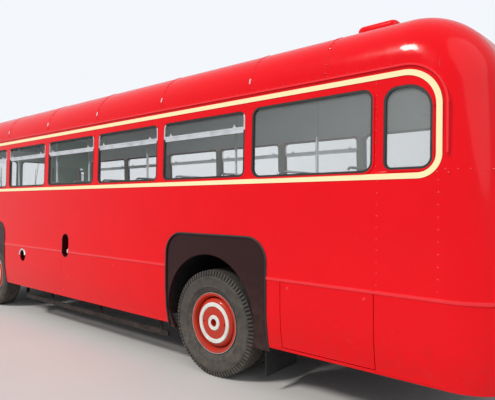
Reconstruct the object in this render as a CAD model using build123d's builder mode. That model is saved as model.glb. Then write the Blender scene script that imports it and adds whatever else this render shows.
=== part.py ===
from build123d import *
from math import cos, radians, sin, sqrt, tan
import os

# Single-decker service bus with an underfloor engine, in millimetres.
# +X points to the rear, -Y is the nearside (the entrance side) and +Z is up.
# The origin is on the ground below the middle of the body.

# Body outline
body_length = 9144
body_width = 2286
roof_height = 3100
skirt_height = 430
waist_height = 1040
turn_under = 40
turn_under_start = 800
tumblehome = 1.65
crown_radius = 6000
corner_radius = 390
rear_dome_radius = 600
front_dome_radius = 560
rear_lean = 5
front_lean = 3
lamp_proud = 30
hem_height = 370
wall = 45
dome_splay = 520
corner_splay = 400
dome_corner_splay = 750
dome_corner_start = 2510
overlap = 10

# Running gear
wheelbase = 4978
rear_overhang = 2610
tyre_radius = 509
tyre_width = 250
rim_radius = 292
rim_width = 200
twin_spacing = 300
tyre_inboard = 70
kingpin_inboard = 143

# Side openings
bay_pitch = 1213
bay_count = 6
first_pillar = 1708
pillar_width = 80
window_sill = 1890
window_head = 2500
window_corner = 30
fixed_window_grow = 13
fixed_window_corner = 80
quarter_start = 1741
quarter_end = 2109
drop_opening = 150
cove_seam = 2650
rear_seam = 2137
rear_dome_seam = 1250
arch_half = 586
rear_arch_back = 710
arch_top = 1365
arch_corner = 210
infill_radius = 560
infill_lift = 107
doorway_width = 580
doorway_margin = 58

# Inside
floor_height = 960
floor_thickness = 25
rail_y = 430
rail_width = 70
rail_depth = 200
rail_top = 880
wheel_box_radius = 628
wheel_box_lift = 67
sheet = 8
seat_height = 440
seat_width = 860
seat_pitch = 690
seat_rows = 9

# Towing eyes at the front ends of the frame rails
eye_x = -4400
eye_z = 750
eye_radius = 42
eye_bore = 20
eye_thick = 32
eye_hatch = (110, 150)

# Clearances
glass_gap = 0.3
door_gap = 6
running_gap = 0.05

half_length = body_length / 2
half_width = body_width / 2
rear_axle_x = half_length - rear_overhang
front_axle_x = rear_axle_x - wheelbase
inner_width = half_width - wall
end_x = half_length - lamp_proud
floor_bottom = floor_height - floor_thickness
rail_bottom = rail_top - rail_depth
tyre_y = half_width - tyre_inboard - tyre_width / 2
kingpin_y = tyre_y - kingpin_inboard
pillars = [rear_axle_x + first_pillar - bay_pitch * k for k in range(bay_count + 1)]
door_rear = front_axle_x - arch_half - doorway_margin
door_front = door_rear - doorway_width
front_seam = door_front
doorway_top = window_head
step_height = 445
NEAR, OFF = -1, 1

os.makedirs("parts", exist_ok=True)


def block(x, y, z, mode=Mode.ADD):
    """Box between a low and a high value on each axis."""
    with Locations(((x[0] + x[1]) / 2, (y[0] + y[1]) / 2, (z[0] + z[1]) / 2)):
        Box(x[1] - x[0], y[1] - y[0], z[1] - z[0], mode=mode)


def sided(side, low, high):
    """A span of Y on the given side, measured outwards from the centre line."""
    return (low, high) if side > 0 else (-high, -low)


def rod(start, end, radius, mode=Mode.ADD):
    """Round bar from one point to another."""
    run = Vector(*end) - Vector(*start)
    with Locations(Plane(origin=start, z_dir=run).location):
        Cylinder(radius, run.length, align=(Align.CENTER, Align.CENTER, Align.MIN), mode=mode)


def finish(piece, name):
    """Label a piece and write it."""
    piece.part.label = name
    export_step(piece.part, f"parts/{name}.step")


# Body outline, at a distance inside the outer skin

def upper_outline():
    """Body above the waist: tumblehome sides, crowned roof and rounded ends."""
    rise = roof_height - waist_height
    eaves = half_width - rise * tan(radians(tumblehome))
    eaves_height = roof_height - crown_radius + sqrt(crown_radius**2 - eaves**2)
    over = rise + crown_radius - sqrt(crown_radius**2 - half_width**2)
    with BuildPart() as outline:
        with BuildSketch(Plane.YZ.offset(-half_length)):
            with BuildLine():
                Polyline(
                    (-eaves, eaves_height),
                    (-half_width, waist_height),
                    (half_width, waist_height),
                    (eaves, eaves_height),
                )
                ThreePointArc((eaves, eaves_height), (0, roof_height), (-eaves, eaves_height))
            make_face()
        extrude(amount=body_length)
        with BuildSketch(Plane.XZ):
            with BuildLine():
                Polyline(
                    (-end_x, waist_height),
                    (end_x, waist_height),
                    (end_x - over * tan(radians(rear_lean)), waist_height + over),
                    (-end_x + over * tan(radians(front_lean)), waist_height + over),
                    close=True,
                )
            make_face()
        extrude(amount=body_width, both=True, mode=Mode.INTERSECT)
        brow = outline.edges().filter_by(lambda e: e.center().Z > cove_seam and abs(e.center().Y) < 1)
        fillet(brow.sort_by(Axis.X)[-1], rear_dome_radius)
        brow = outline.edges().filter_by(lambda e: e.center().Z > cove_seam and abs(e.center().Y) < 1)
        fillet(brow.sort_by(Axis.X)[0], front_dome_radius)
        shoulder = outline.edges().filter_by(
            lambda e: e.center().Z > waist_height + 1 and abs(e.center().Y) > half_width / 2
        )
        fillet(shoulder, corner_radius)
    return outline.part


def saloon_space():
    """Hollow above the waist: lined sides and ceiling with splayed corners at the ends."""
    rise = roof_height - waist_height
    foot = half_width - wall + overlap * tan(radians(tumblehome))
    eaves = half_width - wall - rise * tan(radians(tumblehome))
    crown = crown_radius - wall
    eaves_height = roof_height - wall - crown + sqrt(crown**2 - eaves**2)
    base = waist_height - overlap
    back = end_x - wall
    with BuildPart() as space:
        with BuildSketch(Plane.YZ.offset(-half_length)):
            with BuildLine():
                Polyline((-eaves, eaves_height), (-foot, base), (foot, base), (eaves, eaves_height))
                ThreePointArc((eaves, eaves_height), (0, roof_height - wall), (-eaves, eaves_height))
            make_face()
        extrude(amount=body_length)
        cove = space.edges().filter_by(Axis.X).group_by(Axis.Z)[-1]
        fillet(cove, corner_radius - wall)
        with BuildSketch(Plane.XZ) as length_profile:
            with BuildLine():
                Polyline(
                    (-back, base),
                    (back, base),
                    (back, waist_height),
                    (back - rise * tan(radians(rear_lean)), roof_height),
                    (-back + rise * tan(radians(front_lean)), roof_height),
                    (-back, waist_height),
                    close=True,
                )
            make_face()
            chamfer(length_profile.vertices().group_by(Axis.Y)[-1], dome_splay)
        extrude(amount=body_width, both=True, mode=Mode.INTERSECT)
        with BuildSketch(Plane.XY.offset(base)) as plan:
            Rectangle(2 * back, 2 * foot)
            chamfer(plan.vertices(), corner_splay)
        extrude(amount=roof_height, mode=Mode.INTERSECT)
        with BuildSketch(Plane.XY.offset(dome_corner_start)) as corners:
            Rectangle(2 * back, 2 * foot)
            with BuildSketch(mode=Mode.SUBTRACT) as kept:
                Rectangle(2 * back, 2 * foot)
                chamfer(kept.vertices(), dome_corner_splay)
        extrude(corners.sketch, amount=roof_height, mode=Mode.SUBTRACT)
    return space.part


def lower_outline(inset, top=waist_height):
    """Body below the waist: upright panels that turn under at the skirt."""
    depth = turn_under_start - skirt_height
    bend = (depth**2 + turn_under**2) / (2 * turn_under)
    middle = (turn_under_start + hem_height) / 2
    corner = corner_radius - inset
    side_y = half_width - inset
    reach_x = half_length - lamp_proud - inset

    def section(plane, start, reach):
        """Half section from a start line out to the skin."""
        with BuildSketch(plane) as half:
            with BuildLine():
                tuck = bend - sqrt(bend**2 - (turn_under_start - hem_height) ** 2)
                half_tuck = bend - sqrt(bend**2 - (turn_under_start - middle) ** 2)
                Polyline((reach - tuck, hem_height), (start, hem_height), (start, top), (reach, top))
                Line((reach, top), (reach, turn_under_start))
                halfway = (reach - half_tuck, middle)
                ThreePointArc((reach, turn_under_start), halfway, (reach - tuck, hem_height))
            make_face()
        return half.sketch

    with BuildPart() as outline:
        for side in (NEAR, OFF):
            plane = Plane(origin=(corner - reach_x, 0, 0), x_dir=(0, side, 0), z_dir=(side, 0, 0))
            extrude(section(plane, 0, side_y), amount=side * 2 * (reach_x - corner))
            plane = Plane(origin=(0, corner - side_y, 0), x_dir=(side, 0, 0), z_dir=(0, -side, 0))
            extrude(section(plane, reach_x - corner, reach_x), amount=-side * 2 * (side_y - corner))
        for turn, way_x, way_y in ((0, 1, 1), (90, -1, 1), (180, -1, -1), (270, 1, -1)):
            centre = (way_x * (reach_x - corner), way_y * (side_y - corner), 0)
            out = Vector(cos(radians(turn)), sin(radians(turn)), 0)
            plane = Plane(origin=centre, x_dir=out, z_dir=out.cross(Vector(0, 0, 1)))
            revolve(section(plane, 0, corner), axis=Axis(centre, (0, 0, 1)), revolution_arc=90)
    return outline.part


lower_layers = {}


def lower_layer(near, far):
    """Layer of the lower body between two insets, made once for each pair."""
    if (near, far) not in lower_layers:
        with BuildPart() as layer:
            add(lower_outline(near))
            add(lower_outline(far), mode=Mode.SUBTRACT)
        lower_layers[near, far] = layer.part
    return lower_layers[near, far]


upper_body = upper_outline()
saloon = saloon_space()
lower_hollow = lower_outline(wall)


with BuildPart() as body_space:
    add(saloon)
    whole_x, whole_y = (-half_length, half_length), (-half_width, half_width)
    block(whole_x, whole_y, (waist_height, roof_height), Mode.INTERSECT)
    add(lower_hollow)


def fitted(x, y, z):
    """Box trimmed to the hollow inside of the body."""
    with BuildPart() as trimmed:
        block(x, y, z)
        add(body_space.part, mode=Mode.INTERSECT)
    return trimmed.part


def on_side(sketch):
    """Flat shape stood upright along the body: X along it, then Z."""
    with BuildSketch(Plane.XZ) as upright:
        add(sketch)
    return upright.sketch


def side_patch(side, sketch, near, far):
    """Flat shape cut out of the lower body between two insets of one side."""
    with BuildPart() as patch:
        extrude(on_side(sketch), amount=-side * body_width)
        add(lower_layer(near, far), mode=Mode.INTERSECT)
    return patch.part


def skin_plane(foot, along, out, lean):
    """Plane of a leaning flat panel, whose local Y is the height up the panel."""
    normal = out * cos(radians(lean)) + Vector(0, 0, sin(radians(lean)))
    way = 1 if normal.cross(along).Z > 0 else -1
    face = Plane(origin=foot, x_dir=along, z_dir=normal * way)
    return face.shift_origin(foot - face.y_dir * waist_height), -way


along_x, along_y = Vector(1, 0, 0), Vector(0, 1, 0)
skins = {  # panel: plane and the way inwards along its normal
    "nearside": skin_plane(Vector(0, -half_width, waist_height), along_x, -along_y, tumblehome),
    "offside": skin_plane(Vector(0, half_width, waist_height), along_x, along_y, tumblehome),
    "front": skin_plane(Vector(-end_x, 0, waist_height), along_y, -along_x, front_lean),
    "rear": skin_plane(Vector(end_x, 0, waist_height), along_y, along_x, rear_lean),
}
cut_depth = 250


def skin_slab(skin, sketch, near, far, mode=Mode.ADD):
    """Add a flat shape to a panel, between two depths below its skin."""
    plane, inwards = skins[skin]
    with BuildSketch(plane.offset(inwards * near)) as face:
        add(sketch)
    extrude(face.sketch, amount=inwards * (far - near), mode=mode)


def skin_cut(skin, sketch):
    """Cut a flat shape through a panel."""
    skin_slab(skin, sketch, -50, cut_depth, Mode.SUBTRACT)


def pane(x, z, corner, grow=0.0):
    """Rounded rectangle between two spans, grown all round by a margin."""
    with BuildSketch() as shape:
        with Locations(((x[0] + x[1]) / 2, (z[0] + z[1]) / 2)):
            RectangleRounded(x[1] - x[0] + 2 * grow, z[1] - z[0] + 2 * grow, corner + grow)
    return shape.sketch


def plain_pane(x, z, grow=0.0):
    """Square-cornered rectangle between two spans, grown all round by a margin."""
    with BuildSketch() as shape:
        with Locations(((x[0] + x[1]) / 2, (z[0] + z[1]) / 2)):
            Rectangle(x[1] - x[0] + 2 * grow, z[1] - z[0] + 2 * grow)
    return shape.sketch


def round_corner(shape, row, end, radius):
    """Round one corner of a flat shape: row 0 is the lower one and end 0 the front one."""
    fillet(shape.vertices().group_by(Axis.Y)[row].sort_by(Axis.X)[end], radius)


quarter_corners = [  # row, end, radius
    (0, 0, 70),
    (0, -1, 90),
    (-1, 0, 115),
    (-1, -1, 190),
]


def quarter_pane(grow=0.0):
    """D-shaped rear quarter window with a larger radius at its upper rear corner."""
    x0 = rear_axle_x + quarter_start - grow
    x1 = rear_axle_x + quarter_end + grow
    z0 = window_sill - grow
    z1 = window_head + grow
    with BuildSketch() as shape:
        with Locations(((x0 + x1) / 2, (z0 + z1) / 2)):
            Rectangle(x1 - x0, z1 - z0)
        for row, end, radius in quarter_corners:
            round_corner(shape, row, end, radius + grow)
    return shape.sketch


def arch_outline(axle_x, back, shrink=0.0):
    """Square-shouldered opening in the skin over a wheel."""
    x0 = axle_x - arch_half + shrink
    x1 = axle_x + back - shrink
    top = arch_top - shrink
    with BuildSketch() as shape:
        with Locations(((x0 + x1) / 2, top / 2)):
            Rectangle(x1 - x0, top)
        fillet(shape.vertices().group_by(Axis.Y)[-1], arch_corner - shrink)
    return shape.sketch


def opening_x(bay):
    """Span of X of the window in a bay, counted from the rear."""
    return (pillars[bay + 1] + pillar_width / 2, pillars[bay] - pillar_width / 2)


arches = [  # axle, reach behind it
    (front_axle_x, arch_half),
    (rear_axle_x, rear_arch_back),
]
drop_bays = range(1, bay_count)
sill_head = (window_sill, window_head)
fixed_pane_x = opening_x(0)
cab_window_x = (door_front + 180, door_rear - 20)
locker_x = (rear_axle_x + 857, rear_axle_x + 1690)
locker_z = (455, 1020)
filler = (rear_axle_x - 2588, 1108, 157, 300)
vent_hole = (rear_axle_x - 3786, 890, 80)

# Upper walls and roof

def side_wall(side):
    """One side of the body above the waist, with its windows cut."""
    skin = "nearside" if side == NEAR else "offside"
    with BuildPart() as piece:
        add(upper_body)
        block(
            (front_seam, rear_axle_x + rear_seam),
            sided(side, 0, half_width + 5),
            (waist_height, cove_seam),
            mode=Mode.INTERSECT,
        )
        add(saloon, mode=Mode.SUBTRACT)
        for bay in drop_bays:
            skin_cut(skin, pane(opening_x(bay), sill_head, window_corner))
        skin_cut(skin, pane(fixed_pane_x, sill_head, fixed_window_corner, grow=fixed_window_grow))
        skin_cut(skin, quarter_pane())
        for axle_x, back in arches:
            skin_cut(skin, arch_outline(axle_x, back))
        if side == NEAR:
            door_z = (waist_height - 1, doorway_top)
            block((door_front, door_rear), (-half_width * 2, 0), door_z, mode=Mode.SUBTRACT)
            extrude(on_side(oval_filler()), amount=half_width * 2, mode=Mode.SUBTRACT)
        else:
            skin_cut(skin, pane(cab_window_x, sill_head, window_corner))
    return piece


def oval_filler():
    """Upright oval opening that reaches the fuel filler."""
    x, z, width, height = filler
    with BuildSketch() as oval:
        with Locations((x, z)):
            SlotOverall(height, width, rotation=90)
    return oval.sketch


nearside_wall = side_wall(NEAR)
finish(nearside_wall, "nearside_wall")
offside_wall = side_wall(OFF)
finish(offside_wall, "offside_wall")

with BuildPart() as roof:
    add(upper_body)
    block(
        (door_rear, rear_axle_x + rear_dome_seam),
        (-half_width, half_width),
        (cove_seam, roof_height + 5),
        mode=Mode.INTERSECT,
    )
    add(saloon, mode=Mode.SUBTRACT)
finish(roof, "roof")

with BuildPart() as lower_panels:
    add(lower_layer(0, wall))
    block(
        (-half_length, half_length),
        (-half_width, half_width),
        (skirt_height, waist_height),
        mode=Mode.INTERSECT,
    )
    for axle_x, back in arches:
        extrude(on_side(arch_outline(axle_x, back)), amount=body_width, both=True, mode=Mode.SUBTRACT)
    block((door_front, door_rear), (-half_width, 0), (skirt_height, waist_height), Mode.SUBTRACT)
    extrude(on_side(pane(locker_x, locker_z, 10)), amount=half_width, mode=Mode.SUBTRACT)
    extrude(on_side(oval_filler()), amount=half_width, mode=Mode.SUBTRACT)
    for y in (-rail_y, rail_y):
        with BuildSketch(Plane.YZ.offset(-half_length)):
            with Locations((y, eye_z)):
                RectangleRounded(*eye_hatch, 20)
        extrude(amount=150, mode=Mode.SUBTRACT)
    vent_x, vent_z, vent_radius = vent_hole
    rod((vent_x, -half_width, vent_z), (vent_x, 0, vent_z), vent_radius, Mode.SUBTRACT)
finish(lower_panels, "lower_panels")

# Front and rear ends, with their domes

screen_z = (1620, 2500)
screen_y = (30, 710)
screen_corner = 90
blind_box_y = 480
blind_box_z = (2560, 2930)
blind_box_x = -half_length + 150
blind_pane_y = (-400, 400)
blind_pane_z = (2670, 2820)
rear_door_y = (-320, 320)
rear_door_z = (1070, 2520)
rear_door_corner = 60
rear_pane_y = (400, 710)
rear_pane_z = (1890, 2480)
rear_door_pane_y = (-240, 240)
rear_pane_corner = 70
outboard = half_width + 5
above = roof_height + 5


def keep_end(tip_x, seam_x, dome_x):
    """Keep only an end panel together with its dome."""
    block(sorted((tip_x, dome_x)), (-outboard, outboard), (waist_height, above), Mode.INTERSECT)
    block(sorted((seam_x, dome_x)), (-outboard, outboard), (0, cove_seam), Mode.SUBTRACT)


def two_panes(y, z, corner, grow=0.0):
    """The same pane on both sides of the centre line, seen along X."""
    with BuildSketch() as shape:
        for side in (NEAR, OFF):
            add(pane(sided(side, *y), z, corner, grow))
    return shape.sketch


with BuildPart() as front_end:
    with BuildSketch(Plane.YZ.offset(blind_box_x)):
        with Locations((0, sum(blind_box_z) / 2)):
            RectangleRounded(2 * blind_box_y, blind_box_z[1] - blind_box_z[0], 60)
    extrude(amount=400)
    add(upper_body)
    keep_end(-half_length, front_seam, door_rear)
    add(saloon, mode=Mode.SUBTRACT)
    skin_cut("front", two_panes(screen_y, screen_z, screen_corner))
    with BuildSketch(Plane.YZ.offset(blind_box_x - 10)):
        add(pane(blind_pane_y, blind_pane_z, 20))
    extrude(amount=500, mode=Mode.SUBTRACT)
finish(front_end, "front_end")

with BuildPart() as rear_end:
    add(upper_body)
    keep_end(half_length, rear_axle_x + rear_seam, rear_axle_x + rear_dome_seam)
    add(saloon, mode=Mode.SUBTRACT)
    skin_cut("rear", two_panes(rear_pane_y, rear_pane_z, rear_pane_corner))
    skin_cut("rear", pane(rear_door_y, rear_door_z, rear_door_corner))
finish(rear_end, "rear_end")

with BuildPart() as roof_ventilators:
    for side in (NEAR, OFF):
        with Locations((rear_axle_x + 1500, side * 600, roof_height)):
            Box(350, 190, 90)
    fillet(roof_ventilators.edges().filter_by(Axis.Z), 60)
    fillet(roof_ventilators.edges().group_by(Axis.Z)[-1], 40)
    add(upper_body, mode=Mode.SUBTRACT)
finish(roof_ventilators, "roof_ventilators")

# Glass, frames and gaskets

frame_width = 26
gasket_width = 28
gasket_proud = 4
glass_outer = 12
glass_inner = 18
rail_height = 22
frame_depth = (1, 30)
upper_pane_depth = (19, 25)
rail_depth = (12, 26)
drop_glass_top = window_head - frame_width - drop_opening


def ring(outer, inner):
    """Flat frame between two outlines."""
    with BuildSketch() as shape:
        add(outer)
        add(inner, mode=Mode.SUBTRACT)
    return shape.sketch


def framed(x, skin):
    """Add a half-drop window frame with the top rail of its lowered glass."""
    hole = pane(x, sill_head, window_corner, grow=-glass_gap)
    sight = plain_pane(x, sill_head, grow=-frame_width)
    skin_slab(skin, ring(hole, sight), *frame_depth)
    rail_x = (x[0] + frame_width - 1, x[1] - frame_width + 1)
    skin_slab(skin, plain_pane(rail_x, (drop_glass_top - rail_height, drop_glass_top)), *rail_depth)


def drop_glass(x, skin):
    """Add the lowered glass of a half-drop window and the fixed pane above it."""
    inside = (x[0] + frame_width + glass_gap, x[1] - frame_width - glass_gap)
    height = (window_sill + frame_width + glass_gap, drop_glass_top - rail_height - glass_gap)
    skin_slab(skin, plain_pane(inside, height), glass_outer, glass_inner)
    above = (drop_glass_top + glass_gap, window_head - frame_width - glass_gap)
    skin_slab(skin, plain_pane(inside, above), *upper_pane_depth)


sides = ("nearside", "offside")

with BuildPart() as window_frames:
    for skin in sides:
        for bay in drop_bays:
            framed(opening_x(bay), skin)
    framed(cab_window_x, "offside")
finish(window_frames, "window_frames")

with BuildPart() as saloon_glass:
    for skin in sides:
        for bay in drop_bays:
            drop_glass(opening_x(bay), skin)
        margin = fixed_window_grow - gasket_width - glass_gap
        fixed = pane(fixed_pane_x, sill_head, fixed_window_corner, grow=margin)
        skin_slab(skin, fixed, glass_outer, glass_inner)
        skin_slab(skin, quarter_pane(-gasket_width - glass_gap), glass_outer, glass_inner)
    drop_glass(cab_window_x, "offside")
finish(saloon_glass, "saloon_glass")

end_openings = [  # panel, span of Y, span of Z, corner radius
    ("front", screen_y, screen_z, screen_corner),
    ("rear", rear_pane_y, rear_pane_z, rear_pane_corner),
]

with BuildPart() as end_glass:
    for skin, y, z, corner in end_openings:
        skin_slab(skin, two_panes(y, z, corner, -gasket_width - glass_gap), glass_outer, glass_inner)
    with BuildSketch(Plane.YZ.offset(blind_box_x + glass_outer)):
        add(pane(blind_pane_y, blind_pane_z, 20, -glass_gap))
    extrude(amount=glass_inner - glass_outer)
finish(end_glass, "end_glass")

with BuildPart() as window_gaskets:
    for skin in sides:
        hole = pane(fixed_pane_x, sill_head, fixed_window_corner, grow=fixed_window_grow - glass_gap)
        sight = pane(fixed_pane_x, sill_head, fixed_window_corner, grow=fixed_window_grow - gasket_width)
        skin_slab(skin, ring(hole, sight), -gasket_proud, 24)
        skin_slab(skin, ring(quarter_pane(-glass_gap), quarter_pane(-gasket_width)), -gasket_proud, 24)
    for skin, y, z, corner in end_openings:
        hole = two_panes(y, z, corner, -glass_gap)
        skin_slab(skin, ring(hole, two_panes(y, z, corner, -gasket_width)), -gasket_proud, 24)
finish(window_gaskets, "window_gaskets")

# Outside trim

band_width = 40
band_z = (1836, 2599)
band_rear = rear_axle_x + 2160
band_proud = 3
band_low_corner = 165
band_high_corner = 270
drip_offset = 28
drip_width = 14
drip_proud = 14
drip_end = 2000
bead_height = 24
bead_proud = 7
trim_root = 40


def band_outline(grow=0.0):
    """Outer edge of the pale band, open at the front, with its two rear corners."""
    x0 = -body_length
    x1 = band_rear + grow
    z0 = band_z[0] - grow
    z1 = band_z[1] + grow
    with BuildSketch() as shape:
        with Locations(((x0 + x1) / 2, (z0 + z1) / 2)):
            Rectangle(x1 - x0, z1 - z0)
        round_corner(shape, 0, -1, band_low_corner + grow)
        round_corner(shape, -1, -1, band_high_corner + grow)
    return shape.sketch


with BuildPart() as waist_bands:
    for skin in sides:
        skin_slab(skin, ring(band_outline(), band_outline(-band_width)), -band_proud, trim_root)
    block((front_seam, half_length), (-outboard, outboard), (band_z[0] - 5, band_z[1] + 5), Mode.INTERSECT)
    block((front_seam - 5, door_rear), (-outboard, 0), (0, doorway_top + 20), Mode.SUBTRACT)
    add(upper_body, mode=Mode.SUBTRACT)
finish(waist_bands, "waist_bands")


def waist_bead():
    """Joint cover right round the body just below the waist."""
    with BuildPart() as bead:
        add(lower_outline(-bead_proud))
        add(lower_outline(0), mode=Mode.SUBTRACT)
        z = (waist_height - bead_height, waist_height)
        block((-half_length, half_length), (-outboard - 20, outboard + 20), z, Mode.INTERSECT)
        for axle_x, back in arches:
            extrude(on_side(arch_outline(axle_x, back)), amount=body_width, both=True, mode=Mode.SUBTRACT)
        block((door_front, door_rear), (-outboard - 20, 0), z, Mode.SUBTRACT)
        extrude(on_side(oval_filler()), amount=body_width, mode=Mode.SUBTRACT)
    return bead.part


with BuildPart() as body_mouldings:
    for skin in sides:
        gutter = ring(band_outline(drip_offset + drip_width), band_outline(drip_offset))
        skin_slab(skin, gutter, -drip_proud, trim_root)
    block((front_seam, half_length), (-outboard - 20, outboard + 20), (drip_end, above), Mode.INTERSECT)
    add(upper_body, mode=Mode.SUBTRACT)
    add(waist_bead())
finish(body_mouldings, "body_mouldings")

infill_near = 8
infill_far = 16
infill_lip = 8
infill_bottom = 385
infill_z = tyre_radius + infill_lift
box_z = tyre_radius + wheel_box_lift



def disc_at(x, z, radius):
    """Flat disc."""
    with BuildSketch() as disc:
        with Locations((x, z)):
            Circle(radius)
    return disc.sketch


def above_waist(sketch):
    """Part of a flat shape that lies on the upper panels."""
    with BuildSketch() as kept:
        add(sketch)
        with Locations((0, waist_height + roof_height / 2)):
            Rectangle(body_length, roof_height, mode=Mode.INTERSECT)
    return kept.sketch


with BuildPart() as wheel_arch_panels:
    for side, skin in ((NEAR, "nearside"), (OFF, "offside")):
        for axle_x, back in arches:
            cut_out = disc_at(axle_x, infill_z, infill_radius)
            infill = ring(arch_outline(axle_x, back, 2), cut_out)
            lip = ring(disc_at(axle_x, infill_z, infill_radius + infill_lip), cut_out)
            for shape, depth in ((infill, infill_far), (lip, wall)):
                skin_slab(skin, above_waist(shape), infill_near, depth)
                add(side_patch(side, shape, infill_near, depth))
    block((-half_length, half_length), (-outboard, outboard), (infill_bottom, arch_top), Mode.INTERSECT)
finish(wheel_arch_panels, "wheel_arch_panels")

flap_x = rear_axle_x + wheel_box_radius + glass_gap

with BuildPart() as mud_flaps:
    for side in (NEAR, OFF):
        block((flap_x, flap_x + 8), sided(side, 560, 1040), (140, 640))
finish(mud_flaps, "mud_flaps")

# Doors, flap and lamps on the skin

door_plane = 1030
door_thick = 32
leaf_z = (470, 2470)
leaf_length = (doorway_width - 2 * door_gap) / 2
leaf_pane_z = (1150, 2330)
leaf_pane_inset = 55
fold_x = door_front + door_gap + leaf_length
fold_y = -door_plane - door_thick / 2 - 3
jamb_pin_x = door_front + door_gap + door_thick / 2


def door_leaf(x):
    """Flat door leaf with a long window."""
    with BuildPart() as leaf:
        block(x, (-door_plane - door_thick / 2, -door_plane + door_thick / 2), leaf_z)
        fillet(leaf.edges().filter_by(Axis.Z), 8)
        sight = (x[0] + leaf_pane_inset, x[1] - leaf_pane_inset)
        extrude(on_side(pane(sight, leaf_pane_z, 40)), amount=half_width * 2, mode=Mode.SUBTRACT)
    return leaf


def leaf_glass(x):
    """Pane of a door leaf."""
    with BuildPart() as glass:
        sight = (x[0] + leaf_pane_inset, x[1] - leaf_pane_inset)
        with BuildSketch(Plane.XZ.offset(door_plane - 3)):
            add(pane(sight, leaf_pane_z, 40, -glass_gap))
        extrude(amount=6)
    return glass


front_leaf_x = (door_front + door_gap, fold_x - door_gap / 2)
rear_leaf_x = (fold_x + door_gap / 2, door_rear - door_gap)
finish(door_leaf(front_leaf_x), "door_leaf_front")
finish(door_leaf(rear_leaf_x), "door_leaf_rear")
finish(leaf_glass(front_leaf_x), "door_glass_front")
finish(leaf_glass(rear_leaf_x), "door_glass_rear")

with BuildPart() as emergency_door:
    skin_slab("rear", pane(rear_door_y, rear_door_z, rear_door_corner, -door_gap), 0, wall)
    skin_cut("rear", pane(rear_door_pane_y, rear_pane_z, rear_pane_corner))
    handle_y = rear_door_y[0] + 90
    handle_z = 1500
    grip = end_x - (handle_z - waist_height) * tan(radians(rear_lean)) + 30
    rod((grip - 40, handle_y, handle_z), (grip, handle_y, handle_z), 12)
    rod((grip - 12, handle_y, handle_z), (grip - 12, handle_y + 130, handle_z), 8)
finish(emergency_door, "emergency_door")

with BuildPart() as emergency_door_glass:
    door_pane = pane(rear_door_pane_y, rear_pane_z, rear_pane_corner, -glass_gap)
    skin_slab("rear", door_pane, glass_outer, glass_inner)
finish(emergency_door_glass, "emergency_door_glass")

with BuildPart() as locker_flap:
    add(side_patch(NEAR, pane(locker_x, locker_z, 10, grow=-door_gap), 0, 30))
finish(locker_flap, "locker_flap")

lamp_face = end_x
lamp_table = [  # end, y, z, radius
    (-1, 600, 800, 105),
    (-1, 590, 1480, 38),
    (1, 590, 930, 52),
    (1, 590, 790, 40),
]

with BuildPart() as lamps:
    for end, y, z, radius in lamp_table:
        for side in (NEAR, OFF):
            lean = max(z - waist_height, 0) * tan(radians(front_lean))
            face = lamp_face - lean
            rod((end * (face - 20), side * y, z), (end * (face + lamp_proud), side * y, z), radius)
    add(upper_body, mode=Mode.SUBTRACT)
    add(lower_outline(0), mode=Mode.SUBTRACT)
finish(lamps, "lamps")

mirror_y = 1290
mirror_z = 2150

with BuildPart() as mirrors:
    for side in (NEAR, OFF):
        start = (-half_length + 330, side * 1030, 2530)
        corner = (-half_length + 200, side * (mirror_y - 60), 2480)
        end = (-half_length + 200, side * (mirror_y - 60), 2080)
        rod(start, corner, 9)
        rod(corner, end, 9)
        with Locations((-half_length + 200, side * mirror_y, mirror_z)):
            Box(30, 150, 260)
    add(upper_body, mode=Mode.SUBTRACT)
finish(mirrors, "mirrors")

# Chassis

frame_x = (-4320, 4300)
outrigger_x = [-2330, -1200, 0, 1150, 2700, 3900]
cross_x = [-4150, -3660]
spring_half = 620
spring_z = 575

with BuildPart() as chassis_frame:
    for side in (NEAR, OFF):
        outside = sided(side, rail_y - rail_width / 2, rail_y + rail_width / 2)
        block(frame_x, outside, (rail_bottom, rail_top))
        inside = sided(side, rail_y - rail_width / 2, rail_y + rail_width / 2 - sheet)
        block(frame_x, inside, (rail_bottom + sheet, rail_top - sheet), Mode.SUBTRACT)
    for x in outrigger_x:
        reach = half_width - wall - 10
        block((x - 30, x + 30), (-reach, reach), (rail_top, floor_bottom))
    for x in cross_x:
        block((x - 30, x + 30), (-rail_y, half_width - wall - 10), (rail_top, floor_bottom))
    for tip_x in frame_x:
        block((tip_x - 40, tip_x + 40), (-rail_y, rail_y), (rail_bottom, rail_top))
    for y in (-rail_y, rail_y):
        with BuildSketch(Plane.XY.offset(eye_z)) as eye:
            with Locations(((eye_x + frame_x[0]) / 2, y)):
                Rectangle(frame_x[0] - eye_x, 2 * eye_radius)
            with Locations((eye_x, y)):
                Circle(eye_radius)
                Circle(eye_bore, mode=Mode.SUBTRACT)
        extrude(amount=eye_thick / 2, both=True)
finish(chassis_frame, "chassis_frame")

# Axles, knuckles, springs and wheels

boss_radius = 42
boss_half = 55
pin_radius = 20
lug_thick = 24
lug_gap = 1
stub_radius = 32
beam_z = (410, 500)
arm_length = 180
arm_radius = 14
arm_eye = 18
rod_eye = 15
track_pin = 10
axle_tube_radius = 62
banjo_radius = 170
spring_width = 70
leaf_thick = 12
leaf_count = 4
hub_inner = 60
hub_radius = 75

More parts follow.
